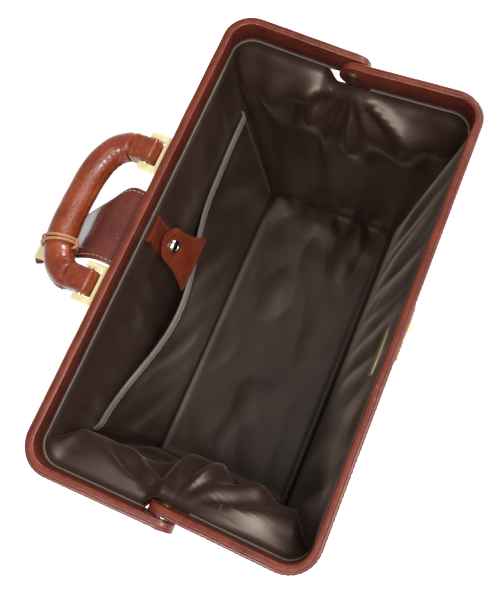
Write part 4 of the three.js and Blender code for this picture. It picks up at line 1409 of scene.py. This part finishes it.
@dataclass
class SlipPocket:
    """The inner pocket: a slack front, a woven binding on its mouth, a strap and a snapping tab."""

    half: float = 165.0
    low: float = 12.0
    gape: float = 20.0
    mouth_rise: float = 8.0
    gape_x: float = -45.0
    gape_reach: float = 125.0
    gap: float = 3.5
    drape_depth: float = 2.6
    snap_x: float = 5.0
    tab_length: float = 56.0
    tab_tip: float = 16.0
    tab_slant: float = math.radians(12.58)
    strap: tuple[float, float, float] = (24.0, 52.0, 3.0)

    def stand(self, x: Array) -> Array:
        """How far the mouth stands off the lining."""
        share = np.minimum(1.0, np.abs(np.asarray(x, float) - self.gape_x) / self.gape_reach)
        return self.gap + self.gape * np.cos(math.pi / 2 * share) ** 2

    def front(self, x: Array, u: Array) -> Array:
        """Where the pocket's front lies.

        Args:
            x: place along the bag.
            u: height up the wall.

        Returns:
            Its v in the wall.
        """
        rise = smooth(u, -30.0, SLIP_TOP) ** 1.2
        shut = 1.0 - smooth(np.abs(x), self.half - 7.0, self.half)
        return LINING_FACE - 0.9 - 2.6 * shut - (self.stand(x) - 2.6) * rise * shut

    def mouth(self, x: Array) -> Array:
        """The height of the mouth, which hangs lower where it is slack."""
        return SLIP_TOP + self.mouth_rise * smooth(np.abs(np.asarray(x, float) - self.snap_x), 34.0, 150.0)

    def cloth(self) -> None:
        """The pocket's front."""
        x = spread(-self.half, self.half, 120)[None, :]
        u = self.low + (self.mouth(x) - 1.0 - self.low) * spread(0.0, 1.0, 60)[:, None]
        drape = self.drape_depth * waves(x + 0.4 * u, u * 0.5, 71, 52.0) * smooth(u, 20.0, 100.0)
        drape = drape * (1.0 - smooth(u, 140.0, 172.0))
        v = self.front(x, u) + drape * (1.0 - smooth(np.abs(x), self.half - 12.0, self.half))
        obj = Maker("slip_pocket_cloth").shell(in_wall(Side.REAR, x, v, u), 0.9, LINING, True).make(80.0)
        fit(obj, "rear_wall", "lining", "slip_pocket")

    def binding(self) -> None:
        """Woven tape folded over the mouth, sewn along its lower edge."""
        x = spread(-self.half + 1.0, self.half - 1.0, 130)
        v = self.front(x, SLIP_TOP)
        section = [(-0.95, -7.0), (-1.15, -6.6), (-1.15, -0.6), (-0.6, 0.0), (1.2, 0.0), (1.7, -0.6),
                   (1.7, -6.6), (1.45, -7.0), (1.2, -6.8), (1.2, -1.2), (-0.6, -1.2), (-0.6, -6.8)]
        top = self.mouth(x)
        rings = np.stack([in_wall(Side.REAR, x, v + dv, top + du) for dv, du in section], axis=1)
        tape = Maker("pocket_binding_tape").sweep(rings, TAPE).make(50.0)
        fit(tape, "rear_wall", "binding", "pocket_binding")
        lines = [in_wall(Side.REAR, x, v - 1.2, top - 5.2)]
        fit(sew("pocket_binding_stitches", lines, GREY_THREAD, 3.2, 2.4, 0.3), "rear_wall", "binding")

    def strap_piece(self) -> None:
        """The strap hanging from the frame, with a folded loop at its top."""
        width, length, thick = self.strap
        top = WALL_LENGTH - 7.0
        rows = spread(0.0, 1.0, 40)[:, None]
        across = spread(-1.0, 1.0, 16)[None, :]
        u = top - length * (1.0 - rows)
        narrow = 1.0 - 0.35 * (1.0 - smooth(rows, 0.0, 0.12)) ** 2
        x = self.snap_x + across * width / 2 * narrow
        crown = 0.5 * (1.0 - across ** 2) + 1.4 * bell(u, top - 4.0, 3.2)
        v = LINING_FACE - 0.3 - thick - crown + 0.8 * smooth(np.abs(across), 0.8, 1.0)
        grid = in_wall(Side.REAR, x, v, u)
        strap = Maker("pocket_strap_hide").shell(grid, thick - 0.4, CHESTNUT, True)
        fit(strap.make(bevel=0.5), "rear_wall", "leather", "pocket_strap")
        u_line = spread(top - length + 4.0, top - 9.0, 24)
        face = LINING_FACE - 0.3 - thick - 0.35
        lines = [in_wall(Side.REAR, self.snap_x + s * (width / 2 - 2.6), face, u_line) for s in (-1, 1)]
        x_line = self.snap_x + spread(-9.0, 9.0, 8)
        lines.append(in_wall(Side.REAR, x_line, LINING_FACE - thick - 0.9, top - 9.0))
        fit(sew("pocket_strap_stitches", lines, THREAD, 3.2, 2.3, 0.36), "rear_wall", "leather")
        refined("snap_stud", "rear_wall", "chrome", CHROME, 0.3)

    def in_tab(self, x: Array, away: Array, up: Array) -> Array:
        """Points of the tab.

        Args:
            x: place along the bag.
            away: how far off its back face.
            up: how far up from its root.

        Returns:
            The points, in the bag's frame.
        """
        turn = self.tab_slant
        root = LINING_FACE - float(self.stand(self.snap_x)) - 1.5
        away, up = np.asarray(away, float), np.asarray(up, float)
        v = root - away * math.cos(turn) + up * math.sin(turn)
        u = SLIP_TOP + 0.3 + away * math.sin(turn) + up * math.cos(turn)
        return in_wall(Side.REAR, np.asarray(x, float), v, u)

    def tab_half(self, up: Array) -> Array:
        """Half the tab's width.

        Args:
            up: heights from its root.

        Returns:
            The half width at each.
        """
        up = np.asarray(up, float)
        tip = self.tab_tip
        straight = self.tab_length - tip
        side = tip + 12.0 * (1.0 - np.clip(up / straight, 0.0, 1.0)) ** 1.7
        past = np.clip((up - straight) / tip, 0.0, 1.0)
        return np.where(up > straight, tip * np.sqrt(np.maximum(1.0 - past ** 2, 0.0004)), side)

    def tab(self) -> None:
        """The tab, its stitches and its snap cap."""
        straight = self.tab_length - self.tab_tip
        up = np.concatenate([spread(1.0, straight, 26),
                             straight + self.tab_tip * np.sin(spread(0.08, math.pi / 2, 16))])
        across = spread(-1.0, 1.0, 25)[None, :]
        half = self.tab_half(up)[:, None]
        crown = 0.8 * (1.0 - across ** 2) - 0.9 * smooth(np.abs(across), 0.86, 1.0)
        crown = crown * (1.0 - smooth(up, straight + 8.0, straight + self.tab_tip))[:, None]
        dimple = -0.8 * bell(np.hypot(across * half, up[:, None] - straight), 7.5, 2.5)
        grid = self.in_tab(self.snap_x + across * half, 2.5 + crown + dimple,
                           np.broadcast_to(up[:, None], crown.shape))
        tab = Maker("snap_tab_hide").shell(grid, 2.1, CHESTNUT, True)
        fit(tab.make(bevel=0.5), "pocket_tab", "leather", "snap_tab")
        up_line = np.concatenate([spread(2.5, straight, 24), straight + 13.4 * np.sin(spread(0.1, 1.5, 14))])
        inset = np.maximum(self.tab_half(up_line * 1.04) - 2.7, 0.3)
        right = self.in_tab(self.snap_x + inset, 2.95, up_line)
        left = self.in_tab(self.snap_x - inset, 2.95, up_line)
        root = self.in_tab(self.snap_x + spread(-24.0, 24.0, 20), 3.25, 3.4)
        lines = [np.vstack([right, left[::-1]]), root]
        fit(sew("snap_tab_stitches", lines, THREAD, 3.1, 2.3, 0.36), "pocket_tab", "leather")
        middle = self.in_tab(self.snap_x, 2.65, straight)
        out = self.in_tab(self.snap_x, 3.65, straight) - middle
        ring = [(0.0, 0.0), (6.0, 0.0), (6.1, 0.7), (5.6, 1.7), (4.6, 2.3), (3.5, 2.0), (3.1, 1.3),
                (0.0, 1.25)]
        centre = [(0.0, 1.3), (3.0, 1.32), (2.6, 1.75), (1.4, 2.05), (0.0, 2.1)]
        cap = Maker("snap_cap_turned").lathe(ring, middle, out, CHROME, 36)
        cap.lathe(centre, middle, out, BLACK_SNAP, 28)
        fit(cap.make(40.0), "pocket_tab", "chrome", "snap_cap")

    def build(self) -> None:
        """Makes the pocket."""
        self.cloth()
        self.binding()
        self.strap_piece()
        self.tab()


# ---------- frame ----------

@dataclass
class HoopHalf:
    """Half the frame: a steel strip in stitched leather, with its rivets."""

    side: Side
    corner: float = 25.0

    def path(self) -> tuple[Array, Array, Array]:
        """The strip's outer line, from one arm's end to the other's.

        Returns:
            Its points in (x, r), the way in at each, and the share of the strip's height there.
        """
        turn = REACH - self.corner
        tip = -STRIP_HALF * np.cos(spread(0.12, math.pi / 2, 10))
        arm = np.concatenate([tip, spread(4.0, turn - 0.1, 14)])
        angle = np.radians(spread(0.0, 90.0, 14))
        half = self.side.half_length
        side_x = np.concatenate([np.full(len(arm), half), half - self.corner * (1 - np.cos(angle))])
        side_r = np.concatenate([arm, turn + self.corner * np.sin(angle)])
        in_x = np.concatenate([np.full(len(arm), -1.0), -np.cos(angle)])
        in_r = np.concatenate([np.zeros(len(arm)), -np.sin(angle)])
        bar_end = half - self.corner - 6.0
        bar = spread(bar_end, -bar_end, 44)
        x = np.concatenate([side_x, bar, -side_x[::-1]])
        r = np.concatenate([side_r, np.full(len(bar), REACH), side_r[::-1]])
        inward = np.stack([np.concatenate([in_x, bar * 0.0, -in_x[::-1]]),
                           np.concatenate([in_r, bar * 0.0 - 1.0, in_r[::-1]])], axis=-1)
        share = np.sqrt(np.clip(1.0 - (np.minimum(r, 0.0) / STRIP_HALF) ** 2, 0.004, 1.0))
        return np.stack([x, r], axis=-1), inward, share

    def line(self, w: float, s: float, start: float = 3.0) -> Array:
        """A line along the strip.

        Args:
            w: how far in from its outer face.
            s: how far up.
            start: the r from which it runs.

        Returns:
            Its points.
        """
        plan, inward, _ = self.path()
        keep = plan[:, 1] >= start
        place = plan[keep] + inward[keep] * w
        return in_frame(self.side, place[:, 0], place[:, 1], s)

    def section(self) -> tuple[Array, list[Finish]]:
        """The strip's section, with a beaded outside, a rolled lower edge and painted shade on its inner
        face.

        Returns:
            Its (w, s) points, and each edge's finish.
        """
        points, finishes = [], []
        for middle, radius, first in (((1.7, 9.8), 1.7, 180.0), ((5.5, 10.0), 1.5, 90.0),
                                      ((6.1, -10.6), 0.9, 0.0), ((0.9, -10.6), 0.9, -90.0)):
            for angle in np.radians(first - spread(0.0, 90.0, 6)):
                points.append((middle[0] + radius * math.cos(angle), middle[1] + radius * math.sin(angle)))
            if first == 180.0:
                points += [(2.1, 11.5), (2.35, 11.05), (2.7, 11.08), (2.95, 11.62), (3.9, 11.72)]
            if first == 90.0:
                points += [(7.0, 4.0), (7.0, 3.2), (6.75, 2.9), (7.0, 2.6), (7.0, -4.0)]
        # Points on the inner face below the top get the darker oxblood leather: painted shade, darker than
        # the chestnut top and outside.
        for w, s in points:
            finishes.append(OXBLOOD_EDGE_AND_SHADE if w > 6.7 and s < 8.5 else CHESTNUT)
        return np.array(points), finishes

    def strip(self) -> None:
        """The leather strip, round at its arms' ends."""
        plan, inward, share = self.path()
        section, finishes = self.section()
        run = np.cumsum(np.linalg.norm(np.diff(plan, axis=0, prepend=plan[:1]), axis=1))
        sway = 0.16 * waves(run[:, None], section[None, :, 1] * 4.0, 81, 38.0)
        w = section[None, :, 0] + sway * (np.abs(section[None, :, 1]) > 8.0)
        place = plan[:, None] + inward[:, None] * w[..., None]
        rings = in_frame(self.side, place[..., 0], place[..., 1], section[None, :, 1] * share[:, None])
        strip = Maker(f"{self.side.word}_frame_hide").sweep(rings, finishes)
        fit(strip.make(50.0), self.side.frame, "leather", f"{self.side.word}_frame_leather")

    def edging(self) -> None:
        """The lining's taped edge and the two rows of stitches above it."""
        plan, inward, _ = self.path()
        keep = plan[:, 1] >= 13.0
        plan, inward = plan[keep], inward[keep]
        section = [(7.05, -10.9), (7.55, -10.8), (7.6, -9.5), (7.05, -9.2)]
        rings = np.stack([in_frame(self.side, *(plan + inward * w).T, s) for w, s in section], axis=1)
        tape = Maker(f"{self.side.word}_edge_tape").sweep(rings, TAPE)
        fit(tape.make(), self.side.frame, "binding")
        lines = [self.line(7.6, -10.1, 14.0), self.line(7.02, -8.0, 14.0)]
        fit(sew(f"{self.side.word}_inner_stitches", lines, GREY_THREAD, 3.0, 2.2, 0.2), self.side.frame,
            "leather")
        lines = [self.line(-0.05, -8.6), self.line(-0.05, 8.2)]
        fit(sew(f"{self.side.word}_outer_stitches", lines, THREAD, 4.2, 3.1), self.side.frame, "leather")

    def rivets(self) -> None:
        """The pivot rivets, with domed and rimmed heads."""
        outward = 1.0 if self.side is Side.REAR else -1.0
        half = self.side.half_length
        face = half + 0.1 if self.side is Side.REAR else half - STRIP - 0.1
        head = [(0.0, 0.0), (5.9, 0.0), (6.1, 0.5), (5.6, 0.9), (5.0, 0.85), (4.4, 1.3), (2.6, 1.85),
                (0.0, 2.05)]
        for end in End:
            middle = in_frame(self.side, end.value * face, 0.0, 0.0)
            rivet = Maker(f"{self.side.word}_rivet_{end.word}_turned")
            rivet.lathe(head, middle, np.array([end.value * outward, 0.0, 0.0]), AGED_BRASS, 32)
            shank = half - STRIP / 2
            ends = np.array([in_frame(self.side, end.value * (shank + t * (STRIP / 2 - 0.2)), 0.0, 0.0)
                             for t in (-1, 0, 1)])
            rivet.tube(ends, 2.8, AGED_BRASS, 12)
            fit(rivet.make(30.0), self.side.frame, "aged_brass", f"{self.side.word}_rivet_{end.word}")

    def build(self) -> None:
        """Makes the half."""
        self.strip()
        self.edging()
        self.rivets()


# ---------- handle ----------

@dataclass
class Handle:
    """Padded leather grip on two square brackets, with end caps, welts and a lace."""

    spacing: float = 118.0
    radius: float = 12.0
    cap_end: float = 12.7
    cap_half: float = 9.3
    seam: float = 13.0
    lace_at: float = 0.24
    knots: Knots = ((-59, 10), (-58.5, 19), (-50, 31), (-31.5, 39), (0, 41), (31.5, 39), (50, 31),
                    (58.5, 19), (59, 10))

    def middle(self) -> Array:
        """The grip's middle line, from seam to seam.

        Returns:
            Its points in (x, d).
        """
        line = spline(list(self.knots), 16)
        first = np.argmax(line[:, 1] > self.seam)
        line = line[first:len(line) - first]
        line[0, 1] = line[-1, 1] = self.seam
        return line

    def axes(self, line: Array) -> tuple[Array, Array]:
        """What goes with the middle line.

        Args:
            line: the middle line.

        Returns:
            The run along it and the way out from the bag's side, at each point.
        """
        run = np.pad(np.cumsum(np.linalg.norm(np.diff(line, axis=0), axis=1)), (1, 0))
        along = np.gradient(line, axis=0)
        along /= np.linalg.norm(along, axis=1, keepdims=True)
        return run, np.stack([-along[:, 1], along[:, 0]], axis=-1)

    def ring(self, line: Array, outward: Array, radius: Array, angle: Array) -> Array:
        """Points round the middle line.

        Args:
            line: the middle line.
            outward: the way out at each of its points.
            radius: how far from the line.
            angle: 0 is outward and a quarter turn is up.

        Returns:
            The points, a ring for each point of the line.
        """
        reach = radius * np.cos(angle)
        x = line[:, 0][:, None] + outward[:, 0][:, None] * reach
        d = line[:, 1][:, None] + outward[:, 1][:, None] * reach
        return in_handle(x, d, radius * np.sin(angle))

    def grip(self) -> None:
        """The grip: padded, grooved beside its welts and wrinkled inside its bends."""
        line = self.middle()
        run, outward = self.axes(line)
        angle = spread(0.0, 2.0 * math.pi, 73)[None, :-1]
        outer = np.abs((angle + math.pi) % (2.0 * math.pi) - math.pi)
        inner = math.pi - outer
        s = run[:, None]
        bend = bell(s, 24.0, 17.0) + bell(s, run[-1] - 24.0, 17.0)
        crease = np.maximum(0.0, np.sin(s * 0.95 + 0.8 * np.sin(angle * 2.0))) ** 2
        radius = self.radius - 0.9 * bell(outer, 0.26, 0.07) - 0.6 * bell(inner, 0.2, 0.06)
        radius = radius + 0.35 * bell(outer, 0.0, 0.2) - 0.35 * bend * crease * smooth(inner, 2.4, 0.4)
        radius = radius + 0.22 * waves(s, angle * 12.0, 91, 24.0)
        ends = smooth(np.minimum(s, run[-1] - s), 0.0, 5.0)
        radius = radius * (0.885 + 0.115 * ends)
        grip = Maker("handle_grip_hide").sweep(self.ring(line, outward, radius, angle), GRIP_HIDE)
        obj = grip.make(70.0)
        fit(obj, "handle", "leather", "handle_grip")
        lines = [self.ring(line[3:-3], outward[3:-3], np.full((len(line) - 6, 1), self.radius + 0.2),
                           np.full((1, 1), turn))[:, 0] for turn in (0.15, -0.15)]
        fit(sew("handle_welt_stitches", lines, THREAD, 3.0, 2.2, 0.3), "handle", "leather")

    def caps(self) -> None:
        """The end caps: squarish leather wrapped round the pins, with a groove across."""
        for end in End:
            nose = -9.4 + 3.0 * (1 - np.cos(spread(0.25, math.pi / 2, 6)))
            d = np.concatenate([nose, spread(-5.0, self.cap_end, 14)])
            edge = np.sqrt(np.clip(1.0 - ((-6.4 - np.minimum(d, -6.4)) / 3.2) ** 2, 0.08, 1.0))
            angle = spread(0.0, 2.0 * math.pi, 41)[None, :-1]
            square = (np.abs(np.cos(angle)) ** 4 + np.abs(np.sin(angle)) ** 4) ** -0.25
            flare = 1.0 + 0.05 * smooth(d, 2.0, self.cap_end)[:, None]
            size = self.cap_half * edge[:, None] * flare * square
            size = size - 0.35 * bell(d, 8.6, 0.7)[:, None]
            x = end.value * self.spacing / 2 + np.clip(1.12 * size * np.cos(angle), -10.9, 10.9)
            rings = in_handle(x, d[:, None], np.clip(size * np.sin(angle), -9.8, 9.8))
            cap = Maker(f"handle_cap_{end.word}_hide").sweep(rings, GRIP_HIDE)
            fit(cap.make(50.0), "handle", "leather", f"handle_cap_{end.word}")

    def lace(self) -> None:
        """The lace: two turns round the grip, crossed and tied under its bend."""
        line = self.middle()
        run, outward = self.axes(line)
        turns, pitch, size = 2.0, 3.6, 1.25
        middle = run[-1] * self.lace_at
        angle = spread(math.pi, math.pi + turns * 2.0 * math.pi, 120)
        at = middle + pitch * (angle - angle.mean()) / (2.0 * math.pi)
        x = np.interp(at, run, line[:, 0])
        d = np.interp(at, run, line[:, 1])
        out = np.stack([np.interp(at, run, outward[:, k]) for k in (0, 1)], axis=-1)
        reach = self.radius + size + 0.5
        path = in_handle(x + out[:, 0] * reach * np.cos(angle), d + out[:, 1] * reach * np.cos(angle),
                         reach * np.sin(angle))
        lace = Maker("handle_lace_cord").tube(path, size, LACE, 12)
        back = self.radius + 2.0 * size + 0.8
        x, d = np.interp(middle, run, line[:, 0]), np.interp(middle, run, line[:, 1])
        out = np.array([np.interp(middle, run, outward[:, k]) for k in (0, 1)])
        tie = spline([(-3.4, -2.2, -1.0), (-1.5, 0.6, -0.2), (1.4, 1.6, 0.5), (3.2, 0.4, -0.3),
                      (1.8, -1.6, -0.6), (-1.2, -1.4, 0.7), (-3.0, 0.8, 0.4), (-5.6, 2.8, -1.2)], 6)
        knot = in_handle(x - out[0] * (back + tie[:, 2]) + out[1] * tie[:, 0],
                         d - out[1] * (back + tie[:, 2]) - out[0] * tie[:, 0], tie[:, 1])
        lace.tube(knot, 1.05, LACE, 10)
        fit(lace.make(60.0), "handle", "lace", "handle_lace")

    def fittings(self) -> None:
        """The square brackets, their pins and rivets."""
        for end in End:
            refined(f"handle_bracket_{end.word}", "rear_frame", "brass", BRASS, 0.7)
            refined(f"handle_pin_{end.word}", "rear_frame", "brass", BRASS, 0.3)
        for number in range(1, 5):
            refined(f"bracket_rivet_{number}", "rear_frame", "brass", BRASS, 0.3)

    def build(self) -> None:
        """Makes the handle."""
        self.grip()
        self.caps()
        self.lace()
        self.fittings()


# ---------- flap ----------

@dataclass
class Flap:
    """The closing tongue: broad at the rear bar, bent down past the handle, with its hasp plate."""

    thick: float = 2.2
    profile: Knots = ((0.6, 4), (16, 3), (32, -10.5), (47, -28), (60, -42), (76, -54), (90, -61))
    right: Knots = ((25, -3), (25, 10), (21, 18), (11, 30), (3, 45), (-9, 66), (-23, 84), (-30, 95))
    left: Knots = ((-41, -3), (-41, 15), (-43, 40), (-47, 64), (-54, 84), (-50, 95))

    def at(self, x: Array, r: Array, off: float) -> Array:
        """Points on the flap.

        Args:
            x: place along the bag.
            r: place out from the bar.
            off: height off its upper face.

        Returns:
            The points.
        """
        line = spline(list(self.profile), 10)
        r = np.asarray(r, float)
        s = np.interp(r, line[:, 0], line[:, 1])
        slope = np.interp(r, line[:, 0], np.gradient(line[:, 1], line[:, 0]))
        size = np.hypot(1.0, slope)
        return in_frame(Side.REAR, x, REACH + r - off * slope / size, s + off / size)

    def edges(self, r: Array) -> tuple[Array, Array]:
        """The flap's edges.

        Args:
            r: places out from the bar.

        Returns:
            The x of its left and of its right edge.
        """
        sides = []
        for knots in (self.left, self.right):
            line = spline(list(knots), 10)
            sides.append(np.interp(r, line[:, 1], line[:, 0]))
        return sides[0], sides[1]

    def build(self) -> None:
        """Makes the flap, its stitches and its hasp plate."""
        r = spread(0.8, 89.5, 70)
        left, right = self.edges(r)
        across = spread(0.0, 1.0, 31)[None, :]
        x = left[:, None] + (right - left)[:, None] * across
        end = smooth(r, 84.0, 89.5)[:, None]
        x = x + (x.mean(axis=1, keepdims=True) - x) * end * 0.35
        off = 1.2 - 0.8 * smooth(np.abs(across * 2 - 1), 0.93, 1.0) + 0.25 * waves(x, r[:, None], 95, 30.0)
        flap = Maker("flap_hide").shell(self.at(x, r[:, None], off), self.thick, FLAP_HIDE, True)
        fit(flap.make(bevel=0.5), "flap", "dark_leather", "flap")
        inset = spread(3.0, 86.0, 60)
        left, right = self.edges(inset)
        lines = [self.at(left + 3.2, inset, 1.35), self.at(right - 3.2, inset, 1.35)]
        fit(sew("flap_stitches", lines, PALE_THREAD, 3.6, 2.7, 0.34), "flap", "dark_leather")
        refined("hasp_plate", "flap", "brass", BRASS, 0.5)


# ---------- outside of the front ----------

@dataclass
class FrontFittings:
    """The outside pocket, the lock patch with its lock, and the blank plate inside."""

    half: float = 166.0
    low: float = 14.0
    high: float = 172.0
    depth: float = 12.0
    back: float = 3.1
    patch_half: tuple[float, float] = (25.0, 31.0)

    def pocket(self) -> None:
        """The pocket: a shallow leather tray with rounded edges and a gathered mouth."""
        edge = (1.0 - np.cos(spread(0.0, math.pi / 2, 8))) * 9.0
        x = np.concatenate([-self.half + edge, spread(-self.half + 14.0, self.half - 14.0, 120),
                            self.half - edge[::-1]])[None, :]
        u = np.concatenate([self.low + edge * 0.9, spread(self.low + 14.0, self.high, 50)])[:, None]
        side = np.clip((self.half - np.abs(x)) / 9.0, 0.0, 1.0)
        foot = np.clip((u - self.low) / 8.1, 0.0, 1.0)
        round_x = np.sqrt(1.0 - (1.0 - side) ** 2)
        round_u = np.sqrt(1.0 - (1.0 - foot) ** 2)
        pleat = 0.55 * np.sin(x * 2.0 * math.pi / 6.0) * smooth(u, 135.0, 165.0)
        pleat = pleat * (1.0 - smooth(x, -90.0, 20.0))
        v = self.back + 0.4 + (self.depth - 0.4) * round_x * round_u
        v = v + (pleat - 0.5 + 0.3 * waves(x, u, 97, 60.0)) * round_x * round_u
        grid = in_wall(Side.FRONT, x, v, np.broadcast_to(u, v.shape))
        tray = Maker("front_pocket_hide").shell(grid, 2.1, CHESTNUT, True)
        fit(tray.make(bevel=0.4), "front_wall", "leather", "front_pocket")
        line_x = spread(-self.half + 9.5, self.half - 9.5, 90)
        hem = [(0.55, -7.0), (0.75, -6.2), (0.75, 0.4), (0.2, 1.0), (-2.2, 1.0), (-2.8, 0.4), (-2.8, -3.0),
               (-2.3, -3.2)]
        rings = np.stack([in_wall(Side.FRONT, line_x, self.back + self.depth - 0.5 + dv, self.high + du)
                          for dv, du in hem], axis=1)
        fit(Maker("front_pocket_hem").sweep(rings, OXBLOOD_EDGE_AND_SHADE).make(), "front_wall", "leather")
        foot_x = spread(-self.half + 12.0, self.half - 12.0, 80)
        lines = [in_wall(Side.FRONT, line_x, self.back + self.depth + 0.35, self.high - 3.2),
                 in_wall(Side.FRONT, foot_x, self.back + self.depth - 0.1, self.low + 12.0)]
        fit(sew("front_pocket_stitches", lines, PALE_THREAD, 4.0, 3.0, 0.38), "front_wall", "leather")

    def lock(self) -> None:
        """The pebbled patch and the brass lock on it."""
        top = WALL_LENGTH - 7.0
        wide, tall = self.patch_half
        u, x = spread(top - 2 * tall, top, 44)[:, None], spread(-wide, wide, 36)[None, :]
        share = np.maximum(np.abs(x) / wide, np.abs((u - top + tall) / tall))
        v = 7.1 - 1.6 * smooth(share, 0.86, 1.0) + 0.25 * waves(x, u, 99, 9.0)
        grid = in_wall(Side.FRONT, x, v, np.broadcast_to(u, v.shape))
        patch = Maker("lock_patch_hide").shell(grid, 3.6, PEBBLED, True)
        fit(patch.make(bevel=0.4), "front_wall", "leather", "lock_patch")
        box = np.array([(-21.5, 4.0), (21.5, 4.0), (21.5, 58.0), (-21.5, 58.0), (-21.5, 4.0)])
        fine = np.concatenate([a + (b - a) * spread(0.0, 1.0, 16)[:, None] for a, b in zip(box, box[1:])])
        line = in_wall(Side.FRONT, fine[:, 0], 7.3, top - 2 * tall + fine[:, 1])
        fit(sew("lock_patch_stitches", [line], PALE_THREAD, 3.4, 2.5, 0.36), "front_wall", "leather")
        refined("lock_case", "front_wall", "brass", BRASS, 0.8)
        refined("lock_button", "lock_button", "brass", BRASS, 0.5)
        refined("inner_plate", "front_wall", "brass", BRASS, 0.15)

    def build(self) -> None:
        """Makes the fittings."""
        self.pocket()
        self.lock()


# ---------- studio ----------

@dataclass
class Studio:
    """The plain pale floor, soft lights and the camera."""

    place: tuple[float, float, float] = (-0.11746, -0.07679, 0.72143)
    turn: tuple[float, float, float] = (14.593, 4.699, -66.867)
    lens: float = 36.88
    background: float = 1.0
    fill: float = 0.38

    def camera(self) -> None:
        """Looks down into the bag from its left front."""
        camera = set_down("Camera", bpy.data.cameras.new("Camera"))
        camera.data.lens = self.lens
        camera.data.sensor_width = 36.0
        camera.data.clip_start = 0.02
        camera.location = self.place
        camera.rotation_euler = tuple(math.radians(angle) for angle in self.turn)
        bpy.context.scene.camera = camera

    def floor(self) -> None:
        """A wide pale floor."""
        mesh = bpy.data.meshes.new("floor")
        reach = 6.0
        corners = [(-reach, -reach, 0), (reach, -reach, 0), (reach, reach, 0), (-reach, reach, 0)]
        mesh.from_pydata(corners, [], [(0, 1, 2, 3)])
        material, _, paper = shader("studio floor")
        paper.inputs["Base Color"].default_value = (0.92, 0.92, 0.92, 1.0)
        paper.inputs["Roughness"].default_value = 0.8
        mesh.materials.append(material)
        obj = set_down("studio_floor", mesh)

    def light(self, name: str, place: Vector, size: float, power: float) -> None:
        """Hangs a soft square light that faces the bag.

        Args:
            name: its name.
            place: where it hangs, in metres.
            size: its side, in metres.
            power: its power, in watts.
        """
        lamp = bpy.data.lights.new(name, "AREA")
        lamp.size = size
        lamp.energy = power
        obj = set_down(name, lamp)
        obj.location = place
        aim = Vector((0.0, 0.0, 0.15))
        obj.rotation_euler = (aim - place).to_track_quat("-Z", "Y").to_euler()

    def sun(self) -> None:
        """Broad even light from above, so that the floor stays pale far out."""
        lamp = bpy.data.lights.new("Broad", "SUN")
        lamp.energy = 1.9
        lamp.angle = math.radians(70.0)
        obj = set_down("Broad", lamp)
        obj.rotation_euler = (math.radians(29.0), math.radians(-5.0), 0.0)

    def sky(self) -> None:
        """White all round, weaker as a light than as a backdrop."""
        world = bpy.data.worlds.new("White")
        world.use_nodes = True
        bpy.context.scene.world = world
        nodes, link = world.node_tree.nodes, world.node_tree.links.new
        back = nodes["Background"]
        back.inputs["Color"].default_value = (1.0, 1.0, 1.0, 1.0)
        seen = nodes.new("ShaderNodeLightPath")
        share = nodes.new("ShaderNodeMapRange")
        share.inputs["To Min"].default_value = self.fill
        share.inputs["To Max"].default_value = self.background
        link(seen.outputs["Is Camera Ray"], share.inputs["Value"])
        link(share.outputs["Result"], back.inputs["Strength"])
        bpy.context.scene.view_settings.view_transform = "Standard"

    def build(self) -> None:
        """Sets up the studio."""
        self.camera()
        self.floor()
        self.sky()
        self.sun()
        self.light("Overhead", Vector((-0.15, -0.8, 1.6)), 0.5, 15.0)
        self.light("Far end", Vector((1.3, -0.3, 0.95)), 0.45, 24.0)
        self.light("Near end", Vector((-0.9, 0.12, 1.3)), 0.3, 12.0)


# ---------- the bag ----------

def dress_nodes() -> None:
    """Gives every carried-over node its slot's finish."""
    slots = {part["node"]: part["material_slot"] for part in frame["record"]["subparts"]}
    for name, obj in frame["nodes"].items():
        obj.data.materials.clear()
        obj.data.materials.append(dress(SLOT_FINISH[slots[name]]))


def main() -> None:
    """Builds the studio and the bag, from the ground up."""
    logging.basicConfig(level=logging.INFO, format="%(name)s: %(message)s")
    Studio().build()
    dress_nodes()
    BaseTray().build()
    for side in Side:
        LongWall(side).build()
        HoopHalf(side).build()
    for end in End:
        Gusset(end).build()
    SlipPocket().build()
    Handle().build()
    Flap().build()
    FrontFittings().build()


if __name__ == "__main__":
    main()
